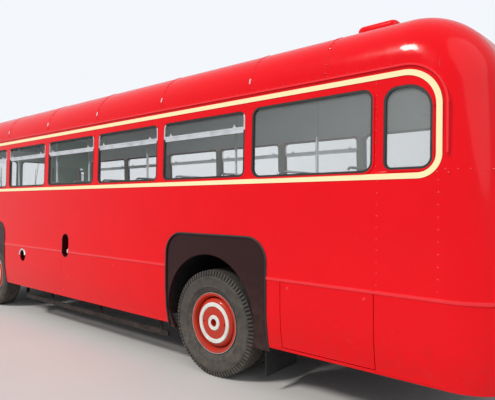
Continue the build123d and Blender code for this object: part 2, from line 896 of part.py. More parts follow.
with BuildPart() as front_axle_beam:
    beam_y = kingpin_y - boss_radius - 20
    block((front_axle_x - 45, front_axle_x + 45), (-beam_y, beam_y), beam_z)
    neck_z = (tyre_radius - boss_half + 5, beam_z[1])
    block((front_axle_x - 30, front_axle_x + 30), (-kingpin_y, kingpin_y), neck_z)
    for x in ((front_axle_x - 50, front_axle_x - 9), (front_axle_x + 9, front_axle_x + 50)):
        block(x, (-beam_y + 40, beam_y - 40), (beam_z[0] + 16, beam_z[1] - 16), Mode.SUBTRACT)
    for side in (NEAR, OFF):
        y = side * kingpin_y
        pin = (front_axle_x, y, tyre_radius)
        rod((*pin[:2], tyre_radius - boss_half), (*pin[:2], tyre_radius + boss_half), boss_radius)
        rod(
            (front_axle_x, y, tyre_radius - boss_half - 1),
            (front_axle_x, y, tyre_radius + boss_half + 1),
            pin_radius + running_gap,
            Mode.SUBTRACT,
        )
        seat = (rail_y - spring_width / 2, rail_y + spring_width / 2)
        perch_z = (beam_z[1], spring_z - leaf_thick * leaf_count)
        block((front_axle_x - 60, front_axle_x + 60), sided(side, *seat), perch_z)
finish(front_axle_beam, "front_axle_beam")

with BuildPart() as rear_axle_casing:
    reach = tyre_y - 75
    rod((rear_axle_x, -reach, tyre_radius), (rear_axle_x, reach, tyre_radius), axle_tube_radius)
    with Locations((rear_axle_x, 0, tyre_radius)):
        Sphere(banjo_radius)
    rod((rear_axle_x - 300, 0, tyre_radius), (rear_axle_x, 0, tyre_radius), 80)
    for side in (NEAR, OFF):
        seat = (rail_y - spring_width / 2, rail_y + spring_width / 2)
        top = spring_z - leaf_thick * leaf_count
        perch_z = (tyre_radius, top + axle_tube_radius)
        block((rear_axle_x - 60, rear_axle_x + 60), sided(side, *seat), perch_z)
finish(rear_axle_casing, "rear_axle_casing")


def leaf_spring(x, base):
    """Stack of bowed leaves, each shorter than the one above it."""
    rise = 40
    bow = (spring_half**2 + rise**2) / (2 * rise)
    with BuildPart() as spring:
        for k in range(leaf_count):
            reach = spring_half * (1 - 0.17 * (leaf_count - 1 - k))
            low = base + k * leaf_thick
            with BuildSketch(Plane.XZ) as leaf:
                with Locations((x, low + bow)):
                    Circle(bow)
                    Circle(bow - leaf_thick, mode=Mode.SUBTRACT)
                with Locations((x, low + rise)):
                    Rectangle(2 * reach, 2 * rise, mode=Mode.INTERSECT)
            extrude(leaf.sketch, amount=spring_width / 2, both=True)
    return spring.part


with BuildPart() as road_springs:
    for axle_x, base in (
        (front_axle_x, spring_z - leaf_thick * leaf_count),
        (rear_axle_x, spring_z - leaf_thick * leaf_count + axle_tube_radius),
    ):
        for side in (NEAR, OFF):
            with Locations((0, side * rail_y, 0)):
                add(leaf_spring(axle_x, base))
            for way in (-1, 1):
                x = axle_x + way * (spring_half - 25)
                y = sided(side, rail_y - spring_width / 2, rail_y + spring_width / 2)
                block((x - 15, x + 15), y, (base + leaf_thick * leaf_count + 36, rail_bottom))
finish(road_springs, "road_springs")


def knuckle(side):
    """Steering knuckle: fork, kingpin, stub axle and track arm."""
    y = side * kingpin_y
    reach = boss_half + lug_gap
    with BuildPart() as piece:
        for way in (-1, 1):
            z = tyre_radius + way * reach
            rod((front_axle_x, y, z), (front_axle_x, y, z + way * lug_thick), boss_radius)
            span = sorted((z, z + way * lug_thick))
            yoke_x = (front_axle_x - boss_radius, front_axle_x + boss_radius)
            block(yoke_x, sided(side, kingpin_y, kingpin_y + 66), span)
        outer = sided(side, kingpin_y + boss_radius + 6, kingpin_y + 66)
        block(yoke_x, outer, (tyre_radius - reach, tyre_radius + reach))
        pin = reach + lug_thick / 2
        rod((front_axle_x, y, tyre_radius - pin), (front_axle_x, y, tyre_radius + pin), pin_radius)
        root = (front_axle_x, side * (kingpin_y + 60), tyre_radius)
        rod(root, (front_axle_x, side * (tyre_y + 30), tyre_radius), stub_radius)
        low = tyre_radius - reach - lug_thick
        end = (front_axle_x + arm_length, y, low - 12)
        rod((front_axle_x, y, low - 12), end, arm_radius)
        rod((front_axle_x, y, low - 30), (front_axle_x, y, low), 24)
        rod((end[0], end[1], low - 30), (end[0], end[1], low + 6), arm_eye)
        rod((end[0], end[1], low - 31), (end[0], end[1], low + 7), track_pin + running_gap, Mode.SUBTRACT)
    return piece


finish(knuckle(NEAR), "knuckle_left")
finish(knuckle(OFF), "knuckle_right")

track_z = tyre_radius - boss_half - lug_gap - lug_thick - 31
with BuildPart() as track_rod:
    x = front_axle_x + arm_length
    rod((x, -kingpin_y, track_z - 15), (x, kingpin_y, track_z - 15), arm_radius)
    for eye_y in (-kingpin_y, kingpin_y):
        rod((x, eye_y, track_z - 30), (x, eye_y, track_z), rod_eye)
        rod((x, eye_y, track_z), (x, eye_y, track_z + 37), track_pin)
finish(track_rod, "track_rod")


def tyre_ring(x, y):
    """Tyre with rounded shoulders, open at the rim."""
    half = tyre_width / 2
    seat = rim_width / 2 - 13
    wall_outline = [  # radius, distance from the middle
        (rim_radius - 22, seat),
        (rim_radius + 1, seat),
        (rim_radius + 30, half - 13),
        (tyre_radius - 110, half),
        (tyre_radius - 32, half - 8),
        (tyre_radius, half - 24),
    ]
    outline = wall_outline + [(radius, -out) for radius, out in reversed(wall_outline)]
    with BuildPart() as ring_piece:
        with BuildSketch(Plane(origin=(x, y, tyre_radius), x_dir=(1, 0, 0), z_dir=(0, 0, 1))):
            with BuildLine():
                Polyline(*outline, close=True)
            make_face()
        revolve(axis=Axis((x, y, tyre_radius), (0, 1, 0)))
    return ring_piece.part


rim_outline = [  # radius, distance outwards from the rim's middle
    (rim_radius, rim_width / 2),
    (rim_radius, rim_width / 2 - 10),
    (rim_radius - 22 - glass_gap, rim_width / 2 - 12),
    (rim_radius - 22 - glass_gap, -rim_width / 2 + 12),
    (rim_radius, -rim_width / 2 + 10),
    (rim_radius, -rim_width / 2),
    (rim_radius - 32, -rim_width / 2),
    (rim_radius - 50, -rim_width / 2 + 40),
    (rim_radius - 50, rim_width / 2 - 40),
    (rim_radius - 32, rim_width / 2),
]
disc_outline = [  # radius, distance outwards from the rim's middle
    (248, 50),
    (236, 58),
    (214, 84),
    (196, 92),
    (193, 100),
    (157, 100),
    (155, 93),
    (72, 93),
    (70, 100),
    (38, 100),
    (36, 55),
    (44, 45),
    (60, 84),
    (160, 84),
    (196, 82),
    (230, 44),
    (248, 38),
]
inner_disc_outline = [  # radius, distance outwards from the outer rim's middle
    (248, -212),
    (70, -150),
    (70, -138),
    (248, -200),
]


def hub_outline(bore, start, end, outer):
    """Hub round a shaft, with the distances between which its bore runs."""
    return [(bore, start), (outer, start), (outer, 56), (0, 56), (0, end), (bore, end)]


def wheel_on(x, y, side, outlines):
    """Wheel turned about its axis from closed outlines."""
    with BuildPart() as wheel:
        with BuildSketch(Plane(origin=(x, y, tyre_radius), x_dir=(1, 0, 0), z_dir=(0, 0, side))):
            for outline in outlines:
                with BuildLine():
                    Polyline(*outline, close=True)
                make_face()
        revolve(axis=Axis((x, y, tyre_radius), (0, 1, 0)))
    return wheel


inner_rim_outline = [(radius, out - twin_spacing) for radius, out in rim_outline]
front_hub = hub_outline(stub_radius + running_gap, -70, 31, 62)
rear_hub = hub_outline(axle_tube_radius + running_gap, -240, -74, 92)

for side, name in ((NEAR, "left"), (OFF, "right")):
    y = side * tyre_y
    finish(wheel_on(front_axle_x, y, side, [rim_outline, disc_outline, front_hub]), f"wheel_front_{name}")
    rear_outlines = [rim_outline, disc_outline, rear_hub, inner_rim_outline, inner_disc_outline]
    finish(wheel_on(rear_axle_x, y, side, rear_outlines), f"wheel_rear_{name}")
    with BuildPart() as front_tyre:
        add(tyre_ring(front_axle_x, y))
    finish(front_tyre, f"tyre_front_{name}")
    with BuildPart() as rear_tyres:
        add(tyre_ring(rear_axle_x, y))
        add(tyre_ring(rear_axle_x, y - side * twin_spacing))
    finish(rear_tyres, f"tyres_rear_{name}")

# Power unit and tanks

engine_x = (-900, 420)
engine_low = (400, 665)
engine_near, engine_off = -330, 740
shaft_z = 600

with BuildPart() as engine_block:
    block(engine_x, (engine_near, engine_off), engine_low)
    block((engine_x[0] + 60, engine_x[1] - 60), (engine_near, -engine_near), (engine_low[1], 840))
    chamfer(engine_block.edges().filter_by(Axis.X), 30)
finish(engine_block, "engine_block")

with BuildPart() as gearbox_and_propshaft:
    rod((engine_x[1], 0, shaft_z), (engine_x[1] + 140, 0, shaft_z), 230)
    rod((engine_x[1] + 140, 0, shaft_z), (engine_x[1] + 520, 0, shaft_z), 150)
    rod((engine_x[1] + 520, 0, shaft_z), (rear_axle_x - 306, 0, tyre_radius + 2), 45)
finish(gearbox_and_propshaft, "gearbox_and_propshaft")

with BuildPart() as radiator:
    block((-1420, -1300), (-380, 380), (430, 850))
    with Locations((-1300, 0, 640)):
        Cylinder(200, 100, rotation=(0, 90, 0), align=(Align.CENTER, Align.CENTER, Align.MIN))
finish(radiator, "radiator")

with BuildPart() as tanks:
    block((-1100, -100), (-1040, -600), (470, rail_top))
    fillet(tanks.edges().filter_by(Axis.X), 50)
    block((-2200, -1500), (600, 1030), (480, rail_top))
    rod((500, 800, 700), (1050, 800, 700), 120)
    rod((500, -800, 700), (1050, -800, 700), 120)
    for x in (560, 1000):
        block((x - 20, x + 20), (780, 820), (700, rail_top + 5))
        block((x - 20, x + 20), (-820, -780), (700, rail_top + 5))
finish(tanks, "tanks")

exhaust_radius = 35
with BuildPart() as exhaust:
    with BuildLine() as route:
        FilletPolyline(
            (engine_x[1] + 8, 620, 520),
            (engine_x[1] + 450, 560, 460),
            (rear_axle_x - 700, 560, 430),
            (rear_axle_x - 300, 330, 300),
            (rear_axle_x + 600, 330, 300),
            (4350, 700, 400),
            radius=150,
        )
    with BuildSketch(Plane(origin=route.line @ 0, z_dir=route.line % 0)):
        Circle(exhaust_radius)
    sweep()
    rod((engine_x[1] + 480, 560, 458), (rear_axle_x - 760, 560, 432), 110)
finish(exhaust, "exhaust")

# Floor, wheel boxes and steps

well_depth = 420
well_inner = inner_width - well_depth
second_step = 700
second_depth = 200
riser = 12
tread = 20
seam = 1
box_inner = 480


def wheel_box_cut(axle_x, side):
    """Space taken by a wheel box and its wheel."""
    with BuildPart() as space:
        with BuildSketch(Plane.XZ) as circle:
            with Locations((axle_x, box_z)):
                Circle(wheel_box_radius)
        extrude(circle.sketch, amount=-side * (half_width + 50))
        inboard = sided(side, box_inner - 1500, box_inner)
        block((axle_x - 1000, axle_x + 1000), inboard, (0, roof_height), Mode.SUBTRACT)
    return space.part


with BuildPart() as floor:
    block((-half_length, half_length), (-outboard, outboard), (floor_bottom, floor_height))
    for axle_x, back in arches:
        for side in (NEAR, OFF):
            add(wheel_box_cut(axle_x, side), mode=Mode.SUBTRACT)
    nose = -well_inner + second_depth
    well_x = (door_front - riser - seam, door_rear + riser + seam)
    through = (floor_bottom - 5, floor_height + 5)
    block(well_x, (-half_width, nose), through, Mode.SUBTRACT)
    # Seams between the long middle boards and the side boards
    for side in (NEAR, OFF):
        block((-half_length, half_length), sided(side, -nose, box_inner), through, Mode.SUBTRACT)
    # Step well of pressed plates with narrow seams: treads and risers, then the two cheeks
    plates = [  # y, z
        ((-half_width, -well_inner), (step_height - tread, step_height)),
        ((-well_inner + seam, -well_inner + riser), (step_height - tread, second_step - tread - seam)),
        ((-well_inner + seam, nose - seam), (second_step - tread, second_step)),
        ((nose, nose + riser), (second_step - tread, floor_bottom - seam)),
    ]
    for y, z in plates:
        block((door_front, door_rear), y, z)
    for x in ((door_front - riser, door_front - seam), (door_rear + seam, door_rear + riser)):
        block(x, (-half_width, nose - seam), (step_height - tread, floor_height))
    add(lower_hollow, mode=Mode.INTERSECT)
finish(floor, "floor")

with BuildPart() as wheel_boxes:
    for axle_x, back in arches:
        for side in (NEAR, OFF):
            with BuildSketch(Plane.XZ.offset(-side * box_inner)) as arch:
                with Locations((axle_x, box_z)):
                    Circle(wheel_box_radius - glass_gap)
            extrude(arch.sketch, amount=-side * (half_width - box_inner))
            with BuildSketch(Plane.XZ.offset(-side * (box_inner + sheet))) as hollow:
                with Locations((axle_x, box_z)):
                    Circle(wheel_box_radius - sheet)
            extrude(hollow.sketch, amount=-side * half_width, mode=Mode.SUBTRACT)
    add(fitted((-half_length, half_length), (-outboard, outboard), (500, 1300)), mode=Mode.INTERSECT)
    for axle_x, back in arches:
        span_y = (-box_inner - sheet - 1, box_inner + sheet + 1)
        block((axle_x - 300, axle_x + 300), span_y, (400, 700), Mode.SUBTRACT)
finish(wheel_boxes, "wheel_boxes")

# Guard rails between the wheels

guard_y = half_width - 100
guard_z = (255, 308)
guard_x = (-1900, 1290)
guard_tip = (-2330, 850)
guard_thick = 25

with BuildPart() as lifeguard_rails:
    for side in (NEAR, OFF):
        with BuildSketch(Plane.XY.offset(guard_z[0])):
            with BuildLine():
                Polyline(
                    (guard_x[1], side * guard_y),
                    (guard_x[0], side * guard_y),
                    (guard_tip[0], side * guard_tip[1]),
                    (guard_tip[0], side * (guard_tip[1] - guard_thick)),
                    (guard_x[0], side * (guard_y - guard_thick)),
                    (guard_x[1], side * (guard_y - guard_thick)),
                    close=True,
                )
            make_face()
        extrude(amount=guard_z[1] - guard_z[0])
        for x in outrigger_x[1:4]:
            hanger_y = sided(side, guard_y - guard_thick - 12, guard_y - guard_thick)
            block((x - 15, x + 15), hanger_y, (guard_z[0], rail_top))
        tip_x = guard_tip[0] + 15
        hanger_y = sided(side, guard_tip[1] - 40, guard_tip[1] - guard_thick + 5)
        block((tip_x - 15, tip_x + 15), hanger_y, (guard_z[0], rail_top))
finish(lifeguard_rails, "lifeguard_rails")

# Saloon seats: spring cases and squabs on tube frames

cushion_thick = 90
cushion_depth = 420
squab_height = 560
squab_thick = 70
squab_lean = 10
seat_top = floor_height + seat_height
first_seat = -2080
seat_outer = inner_width - 60
seat_inner = seat_outer - seat_width
tube = 14
seat_fronts = [first_seat + seat_pitch * k for k in range(seat_rows)]
bench_x = (front_axle_x - 460, front_axle_x + 460)


def seat_cushion(x, side):
    """Soft cushion for two."""
    with BuildPart() as cushion:
        span_y = sided(side, seat_inner, seat_outer)
        block((x, x + cushion_depth), span_y, (seat_top - cushion_thick, seat_top))
        chamfer(cushion.edges().group_by(Axis.Z)[-1], 20)
    return cushion.part


def seat_squab(x, side):
    """Soft back for two, leaning rearwards."""
    pivot = Plane(origin=(x + cushion_depth + 8, 0, seat_top - 30)).rotated((0, squab_lean, 0))
    low, high = sided(side, seat_inner, seat_outer)
    with BuildPart() as squab:
        with BuildSketch(Plane(origin=pivot.origin, x_dir=(0, 1, 0), z_dir=pivot.x_dir)):
            with Locations(((low + high) / 2, squab_height / 2)):
                Rectangle(high - low, squab_height)
        extrude(amount=squab_thick)
        chamfer(squab.edges().filter_by(Axis.X, tolerance=squab_lean + 2).group_by(Axis.Z)[-1], 50)
    return squab.part


with BuildPart() as seat_cushions:
    for x in seat_fronts:
        for side in (NEAR, OFF):
            add(seat_cushion(x, side))
            add(seat_squab(x, side))
finish(seat_cushions, "seat_cushions")

with BuildPart() as seat_frames:
    for x in seat_fronts:
        for side in (NEAR, OFF):
            tray = (seat_top - cushion_thick - 12, seat_top - cushion_thick - glass_gap)
            block((x, x + cushion_depth), sided(side, seat_inner, seat_outer), tray)
            for leg_x in (x + 40, x + cushion_depth - 60):
                leg = (seat_inner + 60, seat_inner + 60 + 2 * tube)
                block((leg_x, leg_x + 2 * tube), sided(side, *leg), (floor_height, tray[0]))
            shoe_y = sided(side, seat_inner + 50, seat_inner + 100)
            block((x + 20, x + cushion_depth - 20), shoe_y, (floor_height, floor_height + 10))
            block((x + 100, x + 160), sided(side, seat_outer - 5, inner_width - 10), (tray[0], tray[1]))
finish(seat_frames, "seat_frames")

# Inward-facing benches on the front wheel boxes

bench_y = (600, inner_width - 60)

with BuildPart() as wheel_box_benches:
    for side in (NEAR, OFF):
        base = (floor_height, seat_top - cushion_thick - glass_gap)
        block((bench_x[0], bench_x[1]), sided(side, bench_y[0], bench_y[0] + 20), base)
        block((bench_x[0], bench_x[1]), sided(side, *bench_y), (base[1] - 20, base[1]))
        add(wheel_box_cut(front_axle_x, side), mode=Mode.SUBTRACT)
finish(wheel_box_benches, "wheel_box_benches")

with BuildPart() as bench_cushions:
    for side in (NEAR, OFF):
        block(bench_x, sided(side, *bench_y), (seat_top - cushion_thick, seat_top))
        block(bench_x, sided(side, bench_y[1] - 75, bench_y[1] - 5), (seat_top + glass_gap, seat_top + 440))
finish(bench_cushions, "bench_cushions")

# Poles, cab and controls

pole_radius = 16
pole_table = [  # x, y
    (-3560, -420),
    (-3560, 90),
    (-2420, -300),
    (-2420, 300),
    (seat_fronts[2] + cushion_depth + 95, 22 - seat_inner),
    (seat_fronts[4] + cushion_depth + 95, seat_inner - 22),
    (seat_fronts[6] + cushion_depth + 95, 22 - seat_inner),
]

with BuildPart() as grab_rails:
    for x, y in pole_table:
        ceiling = roof_height - wall - (abs(y) + pole_radius) ** 2 / (2 * (crown_radius - wall))
        rod((x, y, floor_height), (x, y, ceiling - glass_gap), pole_radius)
finish(grab_rails, "grab_rails")

partition_x = (door_rear + 15, door_rear + 40)
partition_pane_y = (250, 930)
partition_pane_z = (1520, 2350)
cab_side_y = (130, 150)
cab_side_x = (-4160, partition_x[0])
cab_door_x = (cab_side_x[0] + door_gap, cab_side_x[1] - door_gap)
cab_door_z = (floor_height + 10, 1780)
cab_pin_radius = 8

with BuildPart() as cab_partition:
    add(fitted(partition_x, (cab_side_y[0], half_width), (floor_height, 2900)))
    with BuildSketch(Plane.YZ.offset(partition_x[0] - 5)):
        add(pane(partition_pane_y, partition_pane_z, 60))
    extrude(amount=50, mode=Mode.SUBTRACT)
    add(wheel_box_cut(front_axle_x, OFF), mode=Mode.SUBTRACT)
finish(cab_partition, "cab_partition")

cab_pin = (cab_door_x[1] - 14, cab_side_y[0] - 12)
with BuildPart() as cab_door:
    block(cab_door_x, cab_side_y, cab_door_z)
    fillet(cab_door.edges().filter_by(Axis.Y).group_by(Axis.Z)[-1], 60)
finish(cab_door, "cab_door")

driver_y = 640
driver_x = -3960
wheel_centre = (-4200, driver_y, 1640)
column_foot = (-4440, driver_y, floor_height + 7.7)
column_radius = 22
wheel_reach = 225
wheel_grip = 13
dash_x = (-4500, -4290)
dash_z = (floor_height, 1530)
with BuildPart() as dashboard:
    add(fitted(dash_x, (cab_side_y[0], half_width), (1380, dash_z[1])))
    block((dash_x[1] - 20, dash_x[1]), (cab_side_y[0], cab_side_y[1]), (floor_height, 1380))
    block((dash_x[1] - 20, cab_side_x[0]), cab_side_y, (floor_height, 1400))
    rod(column_foot, wheel_centre, column_radius + door_gap, Mode.SUBTRACT)
finish(dashboard, "dashboard")

with BuildPart() as steering_column:
    rod(column_foot, wheel_centre, column_radius)
    slope = Vector(*wheel_centre) - Vector(*column_foot)
    with Locations(Plane(origin=wheel_centre, z_dir=slope).location):
        Cylinder(wheel_reach + wheel_grip, 2 * wheel_grip)
        Cylinder(wheel_reach - wheel_grip, 2 * wheel_grip, mode=Mode.SUBTRACT)
        Cylinder(45, 40)
        for angle in (0, 120, 240):
            with Locations(Rotation(0, 0, angle)):
                Box(wheel_reach, 22, 10, align=(Align.MIN, Align.CENTER, Align.CENTER))
finish(steering_column, "steering_column")

with BuildPart() as driver_seat_frame:
    tray_z = (floor_height + 330, floor_height + 345)
    post_y = (driver_y - 60, driver_y + 60)
    block((driver_x - 60, driver_x + 220), post_y, (floor_height, tray_z[0]))
    block((driver_x - 130, driver_x + 270), (driver_y - 210, driver_y + 210), tray_z)
    block((driver_x + 272, driver_x + 290), post_y, (tray_z[0], floor_height + 700))
    block((driver_x + 250, driver_x + 290), post_y, tray_z)
finish(driver_seat_frame, "driver_seat_frame")

with BuildPart() as driver_seat_cushions:
    base = floor_height + 345 + glass_gap
    block((driver_x - 130, driver_x + 180), (driver_y - 220, driver_y + 220), (base, base + 90))
    back_x = (driver_x + 190, driver_x + 272 - glass_gap)
    block(back_x, (driver_y - 210, driver_y + 210), (base + 60, base + 480))
finish(driver_seat_cushions, "driver_seat_cushions")

wiper_table = [  # side, Y and height of the pivot, Y and height of the tip
    (NEAR, 400, 2530, 330, 1880),
    (OFF, 400, 2530, 330, 1880),
]


def on_skin(skin, along, height, out):
    """Point at a height up a leaning panel and a distance out from its skin."""
    plane, inwards = skins[skin]
    return tuple(plane.from_local_coords(Vector(along, height, -inwards * out)))


with BuildPart() as wipers:
    for side, pivot_y, pivot_z, tip_y, tip_z in wiper_table:
        pivot = on_skin("front", side * pivot_y, pivot_z, 14)
        rod(pivot, on_skin("front", side * tip_y, tip_z, 14), 6)
        rod(on_skin("front", side * pivot_y, pivot_z, 0), on_skin("front", side * pivot_y, pivot_z, 22), 18)
finish(wipers, "wipers")
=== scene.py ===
import math

import bmesh
import bpy
from mathutils import Matrix, Vector


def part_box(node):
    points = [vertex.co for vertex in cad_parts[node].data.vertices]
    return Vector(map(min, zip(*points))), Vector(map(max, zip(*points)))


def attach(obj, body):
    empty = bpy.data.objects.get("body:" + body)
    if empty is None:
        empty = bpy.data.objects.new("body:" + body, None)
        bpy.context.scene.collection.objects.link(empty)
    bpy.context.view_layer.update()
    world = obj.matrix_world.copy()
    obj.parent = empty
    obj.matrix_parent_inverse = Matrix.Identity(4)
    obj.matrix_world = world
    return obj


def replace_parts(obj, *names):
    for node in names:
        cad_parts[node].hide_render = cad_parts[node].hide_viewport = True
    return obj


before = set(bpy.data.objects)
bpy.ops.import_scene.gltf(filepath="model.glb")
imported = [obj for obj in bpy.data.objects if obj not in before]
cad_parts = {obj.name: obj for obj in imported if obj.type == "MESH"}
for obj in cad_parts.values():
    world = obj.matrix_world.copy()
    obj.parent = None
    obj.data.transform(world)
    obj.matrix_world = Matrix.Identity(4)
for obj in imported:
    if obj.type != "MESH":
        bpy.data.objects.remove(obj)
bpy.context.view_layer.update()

bl_info = {
    "name": "Single-decker bus dressing",
    "version": (1, 0, 0),
    "blender": (4, 5, 0),
    "location": "View3D > Sidebar > Bus",
    "description": "Paint, glass, wheels, trim and saloon of a single-decker service bus",
    "category": "Object",
}

# Sizes of the body in metres, as the solids have them
HALF_WIDTH = 1.143
END_X = 4.542
WAIST_Z = 1.040
ROOF_Z = 3.100
SIDE_LEAN = math.radians(1.65)
REAR_LEAN = math.radians(5)
FRONT_LEAN = math.radians(3)
CROWN_RADIUS = 6.0
CORNER_RADIUS = 0.390
TURN_UNDER_Z = 0.800
TURN_UNDER_BEND = 1.73125
REAR_AXLE_X = 1.962
FRONT_AXLE_X = -3.016
TYRE_Y = 0.948
TYRE_RADIUS = 0.509
TWIN_SPACING = 0.300
BAY_PITCH = 1.213
SILL_Z = 1.890
VENT_RADIUS = 0.080
HEAD_Z = 2.500
DROP_TOP = 2.324
QUARTER_X = (REAR_AXLE_X + 1.741, REAR_AXLE_X + 2.109)
QUARTER_RADII = (0.070, 0.090, 0.190, 0.115)
SHOULDER_LEAN = math.radians(19)
ARCH_FRONT, ARCH_BACK = 0.586, 0.710
ARCH_TOP, ARCH_CORNER = 1.365, 0.210
PILLAR_HALF = 0.040
CAB_WINDOW_X = (-4.060, -3.680)
PILLARS = [REAR_AXLE_X + 1.708 - BAY_PITCH * k for k in range(7)]
DOOR_REAR_X = -3.660
DOOR_FRONT_X = -4.240
FLOOR_Z = 0.960
NEAR, OFF = -1, 1

# Camera of the photograph
CAMERA_PLACE = (5.132, -4.319, 1.678)
CAMERA_WAY = (-0.6423, 0.7665, 0.0033)


# Sizes and colours a user would change

def colour(name, description, red, green, blue):
    """A colour setting, given as it shows on screen from 0 to 255."""
    value = [(c / 255 / 12.92) if c <= 10 else ((c / 255 + 0.055) / 1.055) ** 2.4 for c in (red, green, blue)]
    return bpy.props.FloatVectorProperty(
        name=name, description=description, subtype="COLOR", size=3, min=0, max=1, default=value
    )


def length(name, description, value):
    """A length setting in metres."""
    return bpy.props.FloatProperty(
        name=name, description=description, default=value, min=0, unit="LENGTH", subtype="DISTANCE", precision=4
    )


class BusPaintSettings(bpy.types.PropertyGroup):
    """Colours of the painted and trimmed surfaces."""

    body: colour("Body", "Main colour of the body panels", 232, 1, 18)
    # Beads and rivets get a lighter red than the body: painted highlight, where the real ones catch the sky
    bead: colour("Bead", "Beads, rivets and capping strips, which catch the light", 240, 34, 46)
    band: colour("Band", "Pale line round the windows", 250, 238, 188)
    arch: colour("Arch", "Panels round the wheels", 46, 19, 21)
    wheel: colour("Wheel", "Rim band and trim disc", 196, 52, 34)
    ring: colour("Wheel ring", "Raised ring on the trim disc", 226, 232, 226)
    lining: colour("Lining", "Lower inside panels", 150, 176, 150)
    ceiling: colour("Ceiling", "Ceiling and upper inside panels", 226, 231, 232)
    hide: colour("Seat hide", "Seat cushions and backs", 92, 34, 30)


class BusTrimSettings(bpy.types.PropertyGroup):
    """Sizes of the fastenings and small trim."""

    rivet_radius: length("Rivet radius", "Radius of a panel rivet's head", 0.0075)
    rivet_pitch: length("Rivet pitch", "Distance between rivets along a seam", 0.076)
    gutter_pitch: length("Gutter pitch", "Distance between rivets along the drip rail", 0.085)
    tube_radius: length("Tube radius", "Radius of handrails and mirror arms", 0.011)


class BusTyreSettings(bpy.types.PropertyGroup):
    """Tread of the tyres."""

    lug_count: bpy.props.IntProperty(
        name="Lugs", description="Shoulder lugs round one edge of a tyre", default=84, min=12, max=160
    )
    groove_depth: length("Groove depth", "Depth of the grooves round the tread", 0.008)
    groove_width: length("Groove width", "Width of the grooves round the tread", 0.007)


class BusSeatSettings(bpy.types.PropertyGroup):
    """Making of the seat cushions."""

    voxel: length("Voxel", "Grain of the mesh that the cushions are puffed up from", 0.018)
    pressure: bpy.props.FloatProperty(
        name="Pressure", description="Pressure of the stuffing in the simulation", default=4.0, min=0, max=20
    )
    swell: length("Swell", "Most that a point of a cushion moves outwards", 0.020)


class BusStageSettings(bpy.types.PropertyGroup):
    """Camera and light."""

    focal_length: bpy.props.FloatProperty(
        name="Focal length", description="Lens of the camera for a 36 mm wide frame", default=34.28, min=10, max=200
    )
    key_strength: bpy.props.FloatProperty(
        name="Key light", description="Strength of the main lamp", default=2.2, min=0, max=20
    )
    sky_strength: bpy.props.FloatProperty(
        name="Sky light", description="Strength of the even light all round", default=0.42, min=0, max=5
    )


# Node trees

SOCKETS = {
    "colour": "NodeSocketColor", "value": "NodeSocketFloat", "vector": "NodeSocketVector",
    "count": "NodeSocketInt", "shape": "NodeSocketGeometry", "finish": "NodeSocketMaterial",
}


class Tree:
    """A node tree being built."""

    def __init__(self, tree):
        self.tree = tree

    def fill(self, socket, value):
        """Give an input a value or a link."""
        if isinstance(value, bpy.types.NodeSocket):
            self.tree.links.new(value, socket)
        else:
            socket.default_value = value

    def node(self, kind, links=None, **settings):
        """Add a node, set its properties and fill its inputs."""
        item = self.tree.nodes.new(kind)
        for key, value in settings.items():
            setattr(item, key, value)
        for key, value in (links or {}).items():
            self.fill(item.inputs[key], value)
        return item

    def close(self, end, **values):
        """Fill the outputs of a group, and give back the group."""
        for key, value in values.items():
            self.fill(end[key], value)
        return self.tree

    def math(self, operation, a, b=0.0, clamp=False):
        """Result of a Math node."""
        return self.node("ShaderNodeMath", {0: a, 1: b}, operation=operation, use_clamp=clamp).outputs[0]

    def blend(self, factor, a, b):
        """Two colours mixed by a factor."""
        return self.node("ShaderNodeMix", {0: factor, 6: a, 7: b}, data_type="RGBA").outputs[2]

    def spread(self, value, low, high, to_low, to_high):
        """A value moved from one range to another."""
        links = {0: value, 1: low, 2: high, 3: to_low, 4: to_high}
        return self.node("ShaderNodeMapRange", links, clamp=True).outputs[0]

    def place(self):
        """Position on the object."""
        return self.node("ShaderNodeTexCoord").outputs["Object"]

    def along(self, axis):
        """Position on the object along one axis."""
        return self.node("ShaderNodeSeparateXYZ", {"Vector": self.place()}).outputs[axis]

    def noise(self, place, scale, detail, roughness=0.5):
        """Soft noise."""
        links = {"Vector": place, "Scale": scale, "Detail": detail, "Roughness": roughness}
        return self.node("ShaderNodeTexNoise", links).outputs["Fac"]

    def waves(self, scale, distortion):
        """Ridges that run along the bus."""
        links = {"Vector": self.place(), "Scale": scale, "Distortion": distortion}
        return self.node("ShaderNodeTexWave", links, bands_direction="Y").outputs["Fac"]

    def bump(self, strength, distance, height):
        """Normal bent by a height."""
        links = {"Strength": strength, "Distance": distance, "Height": height}
        return self.node("ShaderNodeBump", links).outputs["Normal"]


def new_group(name, inputs, outputs, kind="ShaderNodeTree"):
    """Empty node group with named sockets: its tree, its inputs and its outputs."""
    group = bpy.data.node_groups.new(name, kind)
    for label, sort, *default in inputs:
        socket = group.interface.new_socket(label, in_out="INPUT", socket_type=SOCKETS[sort])
        if default:
            socket.default_value = default[0]
    for label, sort in outputs:
        group.interface.new_socket(label, in_out="OUTPUT", socket_type=SOCKETS[sort])
    tree = Tree(group)
    return tree, tree.node("NodeGroupInput").outputs, tree.node("NodeGroupOutput").inputs


LOOK_OUTPUTS = [("Color", "colour"), ("Roughness", "value"), ("Normal", "vector")]


